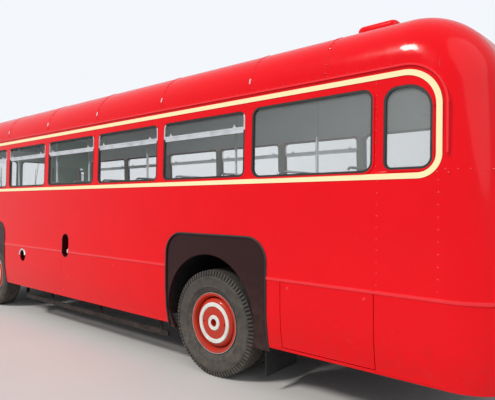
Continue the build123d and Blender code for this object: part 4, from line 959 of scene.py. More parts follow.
class BUS_OT_bands(bpy.types.Operator):
    """Finish the pale band, the drip rail, the beads and the roof seams"""

    bl_idname = "bus.bands"
    bl_label = "Bands and beads"

    def execute(self, context):
        dress("waist_bands", ["band_paint"])
        # Beads and drip rail in the lighter red: painted highlight
        dress("body_mouldings", ["bead_red"])
        seams = bmesh.new()
        for x in PILLARS[1:] + [REAR_AXLE_X + 1.25]:
            path = roof_skin(x, 12)
            add_ribbon(seams, path, 0.011, 0.0025, [(1, 0, 0)] * len(path))
        for side in (NEAR, OFF):
            for span in ((2.72, 2.815), (3.656, 4.15)):
                low = [side_skin(x, 0.457, side) for x in span]
                add_ribbon(seams, low, 0.008, 0.004, [(0, 0, 1)] * 2)
            for x in (REAR_AXLE_X - 2.68, -1.90):
                joint = [side_skin(x, z, side) for z in (0.44, 0.6, 0.8, 1.01)]
                add_ribbon(seams, joint, 0.004, 0.0012, [(1, 0, 0)] * 4)
        clips = bmesh.new()
        for x in PILLARS[1:6]:
            path = roof_skin(x, 12)
            for stretch in (path[1:3], path[-3:-1]):
                add_ribbon(clips, stretch, 0.007, 0.008, [(1, 0, 0)] * 2)
        new_piece("panel_seams", seams, ["body_paint"], "body")
        new_piece("cove_clips", clips, ["bright_alloy"], "body")
        return {"FINISHED"}


class BUS_OT_rivets(bpy.types.Operator):
    """Set the rivets of the panel seams and the drip rail"""

    bl_idname = "bus.rivets"
    bl_label = "Rivets"

    def execute(self, context):
        trim = context.scene.bus_trim
        lines = []
        for side in (NEAR, OFF):
            for x in (REAR_AXLE_X + 1.706, REAR_AXLE_X + 2.137):
                lines.append([side_skin(x, z, side) for z in (1.08, 1.82)])
            lines.append([side_skin(REAR_AXLE_X + 1.694, z, side) for z in (1.93, 2.53)])
            lines.append(rear_wrap(1.870, REAR_AXLE_X + 2.20, 0.36, side))
            lines.append([side_skin(PILLARS[-1], z, side) for z in (1.40, 1.82)])
        for x in PILLARS[1:] + [REAR_AXLE_X + 1.25]:
            lines.append(roof_skin(x + 0.022, 12))
        # Panel rivets in the lighter red, so they show as painted highlights
        stud_lines("panel_rivets", lines, trim.rivet_pitch, trim.rivet_radius, 0.0045, "bead_red")
        gutter = []
        for side in (NEAR, OFF):
            gutter.append([side_skin(x, 2.652, side) for x in (-3.6, 0.0, REAR_AXLE_X + 1.8)])
        # Drip rail rivets in the lighter red, so they show as painted highlights
        stud_lines("gutter_rivets", gutter, trim.gutter_pitch, trim.rivet_radius * 0.85, 0.004, "bead_red")
        screws = []
        for side in (NEAR, OFF):
            start = DOOR_REAR_X + 0.03 if side == NEAR else DOOR_FRONT_X + 0.03
            for z in (1.856, 2.579):
                screws.append([side_skin(x, z, side, 0.003) for x in (start, 0.0, REAR_AXLE_X + 1.88)])
        stud_lines("band_screws", screws, trim.rivet_pitch, 0.0032, 0.0012, "band_paint")
        return {"FINISHED"}


class BUS_OT_windows(bpy.types.Operator):
    """Finish the window frames, lips, rubbers and glass, and add the catches of the half-drops"""

    bl_idname = "bus.windows"
    bl_label = "Windows"

    def half_drop(self, builder, span, side):
        """Rounded opening, channels and rubbers of a half-drop window, and the rail of its lowered glass."""
        edge = window_outline(span, 0.001, [0.030] * 4)
        opening = window_outline(span, 0.008, [0.062] * 4)
        sight = window_outline(span, 0.028, [0.042] * 4)
        add_ring(builder, edge, opening, side, (0.0005, 0.045), lambda a, b: 0)
        add_ring(builder, opening, sight, side, (0.004, 0.030), channel_slot)
        across = (span[0] + 0.027, span[1] - 0.027)
        add_bar(builder, across, (DROP_TOP - 0.026, DROP_TOP + 0.012), side, (0.008, 0.027), 1)
        add_bar(builder, across, (DROP_TOP + 0.012, DROP_TOP + 0.026), side, (0.001, 0.027), 1)

    def lip(self, builder, span, grow, radii, side):
        """Painted lip of the panel round a rubber-mounted window."""
        outer = window_outline(span, -grow - 0.002, [radius + grow + 0.002 for radius in radii], 10)
        inner = window_outline(span, 0.010 - grow, [radius + grow - 0.010 for radius in radii], 10)
        add_ring(builder, outer, inner, side, (-0.0055, 0.003), lambda a, b: 0)

    def catch(self, builder, x, side):
        """Thumb catch on the rail of a lowered glass."""
        point, way = side_skin(x, DROP_TOP + 0.026, side, -0.002)
        add_box(builder, point - Vector((0.022, 0.006, 0.008)), point + Vector((0.022, 0.006, 0.010)), 0.003)
        add_box(builder, point - Vector((0.006, 0.010, 0.004)), point + Vector((0.006, 0.010, 0.026)), 0.003)

    def execute(self, context):
        frames = bmesh.new()
        catches = bmesh.new()
        lips = bmesh.new()
        fixed_span = (PILLARS[1] + PILLAR_HALF, PILLARS[0] - PILLAR_HALF)
        for side in (NEAR, OFF):
            self.lip(lips, fixed_span, 0.013, [0.080] * 4, side)
            self.lip(lips, QUARTER_X, 0.0, QUARTER_RADII, side)
            spans = [(PILLARS[bay + 1] + PILLAR_HALF, PILLARS[bay] - PILLAR_HALF) for bay in range(1, 6)]
            for span in spans:
                for x in (span[0] + 0.13, span[1] - 0.13):
                    self.catch(catches, x, side)
            if side == OFF:
                spans.append(CAB_WINDOW_X)
            for span in spans:
                self.half_drop(frames, span, side)
        piece = new_piece("half_drop_frames", frames, ["body_paint", "bright_alloy", "black_rubber"], "body")
        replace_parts(piece, "window_frames")
        new_piece("window_lips", lips, ["body_paint"], "body")
        dress("window_gaskets", ["black_rubber"])
        dress("saloon_glass", ["window_glass"])
        dress("end_glass", ["window_glass"])
        new_piece("window_catches", catches, ["bright_alloy"], "body")
        return {"FINISHED"}


# Doors, flaps and fittings of the skin

class BUS_OT_doors(bpy.types.Operator):
    """Finish the entrance leaves, the emergency door, the locker flap and the cab door"""

    bl_idname = "bus.doors"
    bl_label = "Doors and flaps"

    def leaf(self, node, glass, body, hinge_right):
        """Entrance leaf with its rubber edge, window beading and grab handle."""
        dress(node, ["body_paint"], body)
        dress(glass, ["window_glass"], body)
        low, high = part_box(node)
        trim = bmesh.new()
        window_low, window_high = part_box(glass)
        for y in (low.y - 0.002, high.y + 0.002):
            loop = [
                (window_low.x, y, window_low.z), (window_high.x, y, window_low.z),
                (window_high.x, y, window_high.z), (window_low.x, y, window_high.z), (window_low.x, y, window_low.z),
            ]
            middle = [((loop[0][0] + loop[1][0]) / 2, y, loop[0][2])]
            add_tube(trim, rounded_path(middle + loop[1:] + middle, 0.04), 0.006, 6, 0)
        edge = high.x + 0.001 if hinge_right else low.x - 0.001
        add_tube(trim, [(edge, low.y + 0.016, low.z + 0.01), (edge, low.y + 0.016, high.z - 0.01)], 0.0045, 8, 0)
        bar_x = high.x - 0.028 if hinge_right else low.x + 0.028
        bar = [
            (bar_x, high.y - 0.002, 1.42), (bar_x, high.y + 0.035, 1.42), (bar_x, high.y + 0.035, 1.08),
            (bar_x, high.y - 0.002, 1.08),
        ]
        add_tube(trim, rounded_path(bar, 0.02), 0.008, 8, 1)
        for z in (0.50, 2.43):
            add_box(trim, (low.x + 0.01, low.y - 0.0015, z), (high.x - 0.01, low.y + 0.002, z + 0.03), 0.001, 1)
        new_piece(f"trim_{node}", trim, ["black_rubber", "bright_alloy"], body)

    def execute(self, context):
        self.leaf("door_leaf_front", "door_glass_front", "entrance_front", True)
        self.leaf("door_leaf_rear", "door_glass_rear", "entrance_rear", False)
        dress("emergency_door", ["body_paint"], "rear_door")
        dress("emergency_door_glass", ["window_glass"], "rear_door")
        dress("locker_flap", ["body_paint"], "side_flap")
        dress("cab_door", ["lining_paint"], "cab_gate")
        low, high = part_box("locker_flap")
        latches = bmesh.new()
        for x in (low.x + 0.07, high.x - 0.07):
            point, way = side_skin(x, 0.965, NEAR)
            add_lathe(latches, [(0.0, 0.004, 0), (0.010, 0.004, 0), (0.013, 0.002, 0), (0.013, -0.002, 0)], point,
                      way, 16, closed=False)
            add_box(latches, point + Vector((-0.004, -0.009, -0.0015)), point + Vector((0.004, -0.003, 0.0015)))
        # Latches in the lighter red: painted highlight
        new_piece("locker_latches", latches, ["bead_red"], "side_flap")
        rear = bmesh.new()
        glass_low, glass_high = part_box("emergency_door_glass")
        for z in (1.22, 2.36):
            x = END_X - (z - WAIST_Z) * math.tan(REAR_LEAN)
            add_box(rear, (x - 0.002, 0.255, z - 0.03), (x + 0.006, 0.312, z + 0.03), 0.002, 0)
        loop = []
        for y, z in ((0.0, 1.885), (0.245, 1.885), (0.245, 2.485), (-0.245, 2.485), (-0.245, 1.885), (0.0, 1.885)):
            loop.append((END_X + 0.001 - (z - WAIST_Z) * math.tan(REAR_LEAN), y, z))
        add_tube(rear, rounded_path(loop, 0.07), 0.009, 6, 1)
        new_piece("emergency_door_trim", rear, ["bright_alloy", "black_rubber"], "rear_door")
        return {"FINISHED"}


class BUS_OT_arches(bpy.types.Operator):
    """Finish the wheel arch panels, the mud flaps and the guard rails"""

    bl_idname = "bus.arches"
    bl_label = "Arches and guards"

    def edging(self, builder, low_x, high_x, side):
        """Rubber strip round the outside of an arch panel, from skirt to skirt."""
        outline = [(low_x, z) for z in (0.40, 0.60, 0.80, 1.00)]
        for x, start in ((low_x + ARCH_CORNER, 180), (high_x - ARCH_CORNER, 90)):
            for k in range(9):
                turn = math.radians(start - 90 * k / 8)
                outline.append((x + ARCH_CORNER * math.cos(turn), ARCH_TOP - ARCH_CORNER * (1 - math.sin(turn))))
        outline += [(high_x, z) for z in (1.00, 0.80, 0.60, 0.40)]
        add_tube(builder, [side_skin(x, z, side, 0.002)[0] for x, z in outline], 0.009, 8)

    def execute(self, context):
        dress("wheel_arch_panels", ["arch_paint"], smooth=8)
        edging = bmesh.new()
        for axle_x, back in ((FRONT_AXLE_X, ARCH_FRONT), (REAR_AXLE_X, ARCH_BACK)):
            for side in (NEAR, OFF):
                self.edging(edging, axle_x - ARCH_FRONT, axle_x + back, side)
        new_piece("arch_edging", edging, ["dash_black"], "body")
        dress("mud_flaps", ["black_rubber"])
        dress("lifeguard_rails", ["chassis_paint"])
        return {"FINISHED"}


# Wheels

WHEEL_SETS = [  # wheel node, tyre node, body, axle, side, twin
    ("wheel_front_left", "tyre_front_left", "front_left_wheel", FRONT_AXLE_X, NEAR, False),
    ("wheel_front_right", "tyre_front_right", "front_right_wheel", FRONT_AXLE_X, OFF, False),
    ("wheel_rear_left", "tyres_rear_left", "rear_left_wheels", REAR_AXLE_X, NEAR, True),
    ("wheel_rear_right", "tyres_rear_right", "rear_right_wheels", REAR_AXLE_X, OFF, True),
]
WHEEL_PROFILE = [  # radius, distance outwards, slot: 0 paint, 1 pale ring, 2 bare rim, 3 near-black painted shade in grooves and hollows
    (0.250, 0.036, 3), (0.247, 0.046, 3), (0.240, 0.050, 3), (0.236, 0.056, 0), (0.231, 0.066, 0),
    (0.223, 0.076, 0), (0.213, 0.084, 0), (0.203, 0.089, 0), (0.196, 0.091, 1), (0.194, 0.096, 1),
    (0.190, 0.0995, 1), (0.160, 0.0995, 1), (0.156, 0.096, 1), (0.154, 0.091, 0), (0.120, 0.092, 0),
    (0.074, 0.092, 1), (0.072, 0.096, 1), (0.069, 0.0995, 1), (0.040, 0.0995, 1), (0.037, 0.097, 0),
    (0.035, 0.070, 0), (0.034, 0.056, 0), (0.040, 0.048, 3), (0.060, 0.082, 3), (0.160, 0.082, 3),
    (0.196, 0.080, 3), (0.230, 0.042, 3),
]
RIM_PROFILE = [
    (0.2915, 0.1000, 2), (0.2935, 0.0965, 2), (0.2915, 0.0920, 2), (0.2690, 0.0880, 3), (0.2690, -0.0880, 3),
    (0.2915, -0.0920, 2), (0.2935, -0.0965, 2), (0.2915, -0.1000, 0), (0.2620, -0.1000, 0), (0.2440, -0.060, 0),
    (0.2440, 0.0500, 0), (0.2520, 0.0750, 0), (0.2640, 0.0960, 0), (0.2860, 0.0985, 2),
]


def tyre_profile(groove_depth, groove_width):
    """Section of a tyre with ribbed sidewalls and grooves round its tread."""
    half = []
    tread = 0.509
    for middle in (0.018, 0.054, 0.088):
        drop = 0.006 * (middle / 0.103) ** 2
        half.append((tread - drop, middle - groove_width / 2, 0))
        half.append((tread - drop - groove_depth, middle - groove_width / 2 + 0.0015, 0))
        half.append((tread - drop - groove_depth, middle + groove_width / 2 - 0.0015, 0))
        half.append((tread - drop, middle + groove_width / 2, 0))
    shoulder = [
        (0.5025, 0.0985), (0.4975, 0.1000), (0.478, 0.1065), (0.4560, 0.1135), (0.4530, 0.1215), (0.440, 0.1235),
        (0.437, 0.1255), (0.431, 0.1255), (0.428, 0.1245), (0.405, 0.1252), (0.380, 0.1245), (0.355, 0.1215),
        (0.352, 0.1230), (0.347, 0.1222), (0.344, 0.1185), (0.325, 0.1110), (0.310, 0.0995), (0.300, 0.0905),
        (0.270, 0.0865),
    ]
    half += [(radius, out, 0) for radius, out in shoulder]
    whole = [(r, -out, slot) for r, out, slot in half[::-1]] + half
    # Slot 1 darkens the shoulder band under the lugs: painted shade between the lugs
    return [
        (r, out, 1 if 0.455 < (r + after[0]) / 2 < 0.498 and abs(out) > 0.09 else 0)
        for (r, out, slot), after in zip(whole, whole[1:] + whole[:1])
    ]


class BUS_OT_wheels(bpy.types.Operator):
    """Turn the wheels and their trim discs"""

    bl_idname = "bus.wheels"
    bl_label = "Wheels"

    def execute(self, context):
        for node, _, body, x, side, twin in WHEEL_SETS:
            centre = Vector((x, side * TYRE_Y, TYRE_RADIUS))
            out = Vector((0, side, 0))
            wheel = bmesh.new()
            add_lathe(wheel, WHEEL_PROFILE, centre, out, 72)
            add_lathe(wheel, RIM_PROFILE, centre, out, 72)
            barrel = [(0.076, -0.24 if twin else -0.07, 3), (0.092, -0.23 if twin else -0.06, 3), (0.092, 0.05, 3),
                      (0.036, 0.055, 0), (0.0, 0.057, 0)]
            add_lathe(wheel, barrel, centre, out, 40, closed=False)
            for way in (-1, 1):
                spot = centre + out * 0.0915 + Vector((way * 0.136, 0, 0))
                add_lathe(wheel, [(0.0, 0.0006, 3), (0.0075, 0.0006, 3), (0.009, 0.0, 3)], spot, out, 12, closed=False)
            if twin:
                inner = centre - out * TWIN_SPACING
                add_lathe(wheel, RIM_PROFILE, inner, out, 72)
                disc = [(0.246, 0.088, 3), (0.246, 0.100, 3), (0.080, 0.162, 3), (0.080, 0.150, 3)]
                add_lathe(wheel, disc, inner, out, 56)
            # Slot 3 paints the rim's groove, the hub barrel, the holes and the inner wheel's dish near-black: painted
            # shade
            piece = new_piece(f"turned_{node}", wheel, ["wheel_paint", "ring_paint", "rim_metal", "dark_hole"], body)
            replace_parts(piece, node)
        return {"FINISHED"}


class BUS_OT_tyres(bpy.types.Operator):
    """Turn the tyres and set the lugs of their tread"""

    bl_idname = "bus.tyres"
    bl_label = "Tyres"

    def execute(self, context):
        tyre = context.scene.bus_tyres
        group = make_lug_ring()
        profile = tyre_profile(tyre.groove_depth, tyre.groove_width)
        for _, node, body, x, side, twin in WHEEL_SETS:
            insets = (0.0, TWIN_SPACING) if twin else (0.0,)
            rubber = bmesh.new()
            for inset in insets:
                add_lathe(rubber, profile, (x, side * (TYRE_Y - inset), TYRE_RADIUS), (0, 1, 0), 96)
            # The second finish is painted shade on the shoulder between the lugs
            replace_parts(new_piece(f"ribbed_{node}", rubber, ["tyre_rubber", "tyre_groove"], body), node)
            for inset in insets:
                values = {
                    "Count": tyre.lug_count, "Radius": 0.4785, "Offset": 0.1075, "Lug": (0.049, 0.022, 0.017),
                    "Centre": (x, side * (TYRE_Y - inset), TYRE_RADIUS), "Finish": FINISHES["tyre_rubber"],
                }
                name = f"lugs_{node}_{int(inset * 1000)}"
                grow_nodes(name, bpy.data.meshes.new("base"), group, values, body)
        return {"FINISHED"}


# Lamps, mirrors, wipers and small fittings

class BUS_OT_lamps(bpy.types.Operator):
    """Make the head, side and tail lamps and the blank number plates"""

    bl_idname = "bus.lamps"
    bl_label = "Lamps and plates"

    def execute(self, context):
        lamps = bmesh.new()
        for side in (NEAR, OFF):
            front = (-END_X + 0.004, side * 0.600, 0.800)
            bezel = [(0.078, 0.020, 1), (0.080, 0.030, 1), (0.090, 0.0335, 1), (0.100, 0.030, 1), (0.105, 0.016, 1),
                     (0.105, -0.010, 1), (0.078, -0.010, 1)]
            add_lathe(lamps, bezel, front, (-1, 0, 0), 48)
            lens = [(0.0, 0.0315, 0), (0.030, 0.0305, 0), (0.055, 0.0275, 0), (0.080, 0.0225, 0)]
            add_lathe(lamps, lens, front, (-1, 0, 0), 48, closed=False)
            small = (-END_X + 0.44 * math.tan(FRONT_LEAN), side * 0.590, 1.480)
            bezel = [(0.026, 0.018, 1), (0.030, 0.024, 1), (0.038, 0.016, 1), (0.038, -0.004, 1), (0.026, -0.004, 1)]
            add_lathe(lamps, bezel, small, (-1, 0, 0), 28)
            add_lathe(lamps, [(0.0, 0.0285, 0), (0.016, 0.026, 0), (0.027, 0.019, 0)], small, (-1, 0, 0), 28,
                      closed=False)
            for z, radius in ((0.930, 0.052), (0.790, 0.040)):
                tail = (END_X - 0.004, side * 0.590, z)
                bezel = [(radius - 0.012, 0.020, 1), (radius - 0.006, 0.026, 1), (radius, 0.018, 1),
                         (radius, -0.004, 1), (radius - 0.012, -0.004, 1)]
                add_lathe(lamps, bezel, tail, (1, 0, 0), 32)
                lens = [(0.0, 0.031, 2), (radius * 0.45, 0.029, 2), (radius - 0.011, 0.021, 2)]
                add_lathe(lamps, lens, tail, (1, 0, 0), 32, closed=False)
        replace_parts(new_piece("lamp_set", lamps, ["clear_lens", "chrome", "red_lens"], "body"), "lamps")
        plates = bmesh.new()
        add_box(plates, (-END_X - 0.012, -0.26, 0.555), (-END_X + 0.002, 0.26, 0.665), 0.003, 0)
        add_box(plates, (-END_X - 0.0135, -0.25, 0.564), (-END_X - 0.010, 0.25, 0.656), 0.002, 1)
        add_box(plates, (END_X - 0.002, -0.26, 0.850), (END_X + 0.012, 0.26, 0.960), 0.003, 0)
        add_box(plates, (END_X + 0.010, -0.25, 0.859), (END_X + 0.0135, 0.25, 0.951), 0.002, 1)
        add_box(plates, (END_X - 0.002, -0.06, 0.975), (END_X + 0.028, 0.06, 1.000), 0.006, 2)
        new_piece("number_plates", plates, ["bright_alloy", "plate_black", "chrome"], "body")
        return {"FINISHED"}


class BUS_OT_mirrors(bpy.types.Operator):
    """Make the mirrors on their arms and the wipers"""

    bl_idname = "bus.mirrors"
    bl_label = "Mirrors and wipers"

    def execute(self, context):
        trim = context.scene.bus_trim
        set_of = bmesh.new()
        for side in (NEAR, OFF):
            foot = Vector((-4.242, side * 1.050, 2.530))
            arm = [foot, (-4.372, side * 1.230, 2.480), (-4.372, side * 1.230, 2.060)]
            add_tube(set_of, rounded_path(arm, 0.05), trim.tube_radius * 0.8, 10, 0)
            for z in (2.24, 2.06):
                add_box(set_of, (-4.384, side * 1.255 - 0.03, z - 0.012), (-4.360, side * 1.255 + 0.03, z + 0.012),
                        0.003, 0)
            head_low = Vector((-4.386, side * 1.290 - 0.074, 2.021))
            head_high = Vector((-4.358, side * 1.290 + 0.074, 2.279))
            add_box(set_of, head_low, head_high, 0.011, 0)
            add_box(set_of, (-4.3585, head_low.y + 0.010, head_low.z + 0.010),
                    (-4.3565, head_high.y - 0.010, head_high.z - 0.010), 0.0008, 1)
        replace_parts(new_piece("mirror_pair", set_of, ["black_rubber", "mirror_glass"], "body"), "mirrors")
        dress("wipers", ["chrome"])
        blades = bmesh.new()
        for side in (NEAR, OFF):
            ends = []
            for y, height in ((0.345, 2.35), (0.328, 1.86)):
                x = -END_X + (height - WAIST_Z) * math.tan(FRONT_LEAN) - 0.012
                ends.append(Vector((x, side * y, height)))
            add_tube(blades, ends, 0.005, 6, 0)
        new_piece("wiper_blades", blades, ["black_rubber"], "body")
        return {"FINISHED"}


class BUS_OT_fittings(bpy.types.Operator):
    """Make the filler behind its opening, the small hood and the destination blind"""

    bl_idname = "bus.fittings"
    bl_label = "Small fittings"

    def execute(self, context):
        fittings = bmesh.new()
        x, z = REAR_AXLE_X - 2.588, 1.108
        rim = []
        for k in range(25):
            turn = 2 * math.pi * k / 24
            up = 0.0715 if math.sin(turn) >= 0 else -0.0715
            point, way = side_skin(x + 0.0785 * math.cos(turn), z + up + 0.0785 * math.sin(turn), NEAR, 0.0005)
            rim.append(point)
        add_tube(fittings, rim, 0.004, 6, 1)
        add_lathe(fittings, [(0.0, 0.020, 0), (0.028, 0.018, 0), (0.036, 0.010, 0), (0.036, -0.05, 0)],
                  (x + 0.036, -HALF_WIDTH + 0.036, z - 0.075), (0, -1, 0), 28, closed=False)
        # Near-black red sleeve and back sheet behind the filler opening: painted shade
        back_y = -HALF_WIDTH + 0.130
        add_box(fittings, (x - 0.11, back_y - 0.002, z - 0.19), (x + 0.11, back_y + 0.002, z + 0.19), 0.0, 2)
        add_ring(fittings, oval_outline(x, z, 0.0783, 0.0715), oval_outline(x, z, 0.0768, 0.0715), NEAR,
                 (0.0008, 0.128), lambda a, b: 2)
        hood_x, hood_z = REAR_AXLE_X - 3.786, 0.890
        hood = []
        for k in range(13):
            turn = math.pi * k / 12
            point, way = side_skin(hood_x + 0.080 * math.cos(turn), hood_z + 0.012 + 0.080 * math.sin(turn), NEAR, 0.004)
            hood.append(point)
        add_tube(fittings, hood, 0.013, 8, 0)
        # Near-black red sleeve and back sheet behind the hooded opening: painted shade
        add_ring(fittings, oval_outline(hood_x, hood_z, VENT_RADIUS - 0.0005, 0.0),
                 oval_outline(hood_x, hood_z, VENT_RADIUS - 0.002, 0.0), NEAR, (0.0008, 0.098), lambda a, b: 2)
        add_box(fittings, (hood_x - 0.10, -HALF_WIDTH + 0.100, hood_z - 0.10),
                (hood_x + 0.10, -HALF_WIDTH + 0.104, hood_z + 0.10), 0.0, 2)
        new_piece("side_fittings", fittings, ["bright_alloy", "black_rubber", "recess_red"], "body")
        blind = bmesh.new()
        add_box(blind, (-4.372, -0.41, 2.655), (-4.362, 0.41, 2.835), 0.002, 0)
        for z in (2.66, 2.83):
            add_tube(blind, [(-4.366, -0.40, z), (-4.366, 0.40, z)], 0.012, 10, 1)
        new_piece("destination_blind", blind, ["blind_cloth", "bright_alloy"], "body")
        return {"FINISHED"}


# Saloon and cab

SEAT_FRONTS = [-2.080 + 0.690 * k for k in range(9)]
SEAT_OUTER, SEAT_INNER = 1.038, 0.178
SEAT_TOP = 1.400
SQUAB_LEAN = math.radians(10)


def puffed_block(name, size, settings):
    """Mesh of a stuffed cushion centred on its base, with a crowned top and a middle seam."""
    builder = bmesh.new()
    sx, sy, sz = size
    shrink = 0.92
    add_box(builder, (-sx * shrink / 2, -sy * shrink / 2, sz * 0.08), (sx * shrink / 2, sy * shrink / 2, sz * 0.90),
            min(size) * 0.28)
    mesh = bpy.data.meshes.new(name)
    builder.to_mesh(mesh)
    builder.free()
    host = bpy.data.objects.new(name, mesh)
    bpy.context.scene.collection.objects.link(host)
    remesh = host.modifiers.new("grain", "REMESH")
    remesh.mode = "VOXEL"
    remesh.voxel_size = settings.voxel
    context = bpy.context
    even = bpy.data.meshes.new_from_object(host.evaluated_get(context.evaluated_depsgraph_get()))
    host.modifiers.clear()
    host.data = even
    start = [vert.co.copy() for vert in even.vertices]
    ends = [co.copy() for co in start]
    cloth = host.modifiers.new("stuffing", "CLOTH")
    cloth.settings.use_pressure = True
    cloth.settings.uniform_pressure_force = settings.pressure
    cloth.settings.effector_weights.gravity = 0.0
    cloth.settings.quality = 5
    for moment in range(1, 16):
        context.scene.frame_set(moment)
    settled = host.evaluated_get(context.evaluated_depsgraph_get())
    ends = [vert.co.copy() for vert in settled.data.vertices]
    host.modifiers.clear()
    context.scene.frame_set(1)
    half = Vector((sx / 2, sy / 2, sz / 2))
    for vert, first, last in zip(even.vertices, start, ends):
        step = last - first
        if step.length > settings.swell:
            step *= settings.swell / step.length
        place = first + step
        across = 1 - min(abs(place.x) / half.x, 1) ** 2.5
        along = 1 - min(abs(place.y) / half.y, 1) ** 2.5
        if place.z > half.z:
            place.z += 0.012 * across * along
            place.z -= 0.010 * math.exp(-((place.y / 0.022) ** 2))
        place.x = max(min(place.x, half.x), -half.x)
        place.y = max(min(place.y, half.y), -half.y)
        place.z = max(min(place.z, sz), 0.0)
        vert.co = place
    bpy.data.objects.remove(host)
    return even


def repeat_mesh(name, patterns, finish, node=None):
    """One padded piece from meshes set in many places."""
    builder = bmesh.new()
    for mesh, places in patterns:
        for place in places:
            first = len(builder.verts)
            builder.from_mesh(mesh)
            builder.verts.ensure_lookup_table()
            bmesh.ops.transform(builder, matrix=place, verts=builder.verts[first:])
    for mesh in {mesh.name: mesh for mesh, _ in patterns}.values():
        bpy.data.meshes.remove(mesh)
    piece = new_piece(name, builder, [finish], "body", smooth=60)
    if node:
        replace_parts(piece, node)
    return piece


def squab_place(x, y, lean, foot_z, height, thick):
    """Placing of an upright cushion whose back leans towards the rear."""
    turn = Matrix.Rotation(lean, 4, "Y") @ Matrix.Rotation(math.radians(-90), 4, "Y")
    up = Vector((math.sin(lean), 0, math.cos(lean)))
    back = Vector((math.cos(lean), 0, -math.sin(lean)))
    foot = Vector((x, y, foot_z)) + up * height / 2 + back * thick
    return Matrix.Translation(foot) @ turn


class BUS_OT_cushions(bpy.types.Operator):
    """Stuff and upholster the cushions of the saloon, the benches and the driver"""

    bl_idname = "bus.cushions"
    bl_label = "Cushions"

    def execute(self, context):
        seats = context.scene.bus_seats
        middle = (SEAT_OUTER + SEAT_INNER) / 2
        seat = puffed_block("seat_form", (0.42, 0.86, 0.09), seats)
        back = puffed_block("back_form", (0.56, 0.86, 0.07), seats)
        places = [
            Matrix.Translation((x + 0.21, side * middle, SEAT_TOP - 0.09)) for x in SEAT_FRONTS for side in (NEAR, OFF)
        ]
        repeat_mesh("seat_pads", [(seat, places)], "seat_hide", "seat_cushions")
        places = [
            squab_place(x + 0.428, side * middle, SQUAB_LEAN, SEAT_TOP - 0.03, 0.56, 0.07)
            for x in SEAT_FRONTS for side in (NEAR, OFF)
        ]
        repeat_mesh("seat_backs", [(back, places)], "seat_hide", "seat_cushions")
        low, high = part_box("bench_cushions")
        length = high.x - low.x
        bench = puffed_block("bench_form", (length, 0.438, 0.09), seats)
        bench_back = puffed_block("bench_back_form", (length, 0.44, 0.07), seats)
        bench_places, back_places = [], []
        for side in (NEAR, OFF):
            bench_places.append(Matrix.Translation(((low.x + high.x) / 2, side * 0.819, SEAT_TOP - 0.09)))
            lie = Matrix.Rotation(side * math.radians(90), 4, "X")
            back_places.append(
                Matrix.Translation(((low.x + high.x) / 2, side * 1.033, SEAT_TOP + 0.222)) @ lie
            )
        repeat_mesh(
            "bench_pads", [(bench, bench_places), (bench_back, back_places)], "seat_hide", "bench_cushions"
        )
        low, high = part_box("driver_seat_cushions")
        pan = puffed_block("driver_form", (0.31, 0.44, 0.09), seats)
        rest = puffed_block("driver_back_form", (0.42, 0.42, 0.08), seats)
        pan_place = Matrix.Translation((low.x + 0.155, (low.y + high.y) / 2, low.z))
        rest_place = (
            Matrix.Translation((high.x, (low.y + high.y) / 2, low.z + 0.27)) @ Matrix.Rotation(math.radians(-90), 4, "Y")
        )
        repeat_mesh(
            "driver_pads", [(pan, [pan_place]), (rest, [rest_place])], "seat_hide", "driver_seat_cushions"
        )
        return {"FINISHED"}


def wheel_box_slot(face):
    """Finish of a face of the wheel boxes: saloon side or wheel side."""
    middle = face.calc_center_median()
    axle_x = REAR_AXLE_X if middle.x > 0 else FRONT_AXLE_X
    inward = Vector((axle_x, math.copysign(TYRE_Y, middle.y), TYRE_RADIUS)) - middle
    return 1 if face.normal.dot(inward.normalized()) > 0.05 else 0


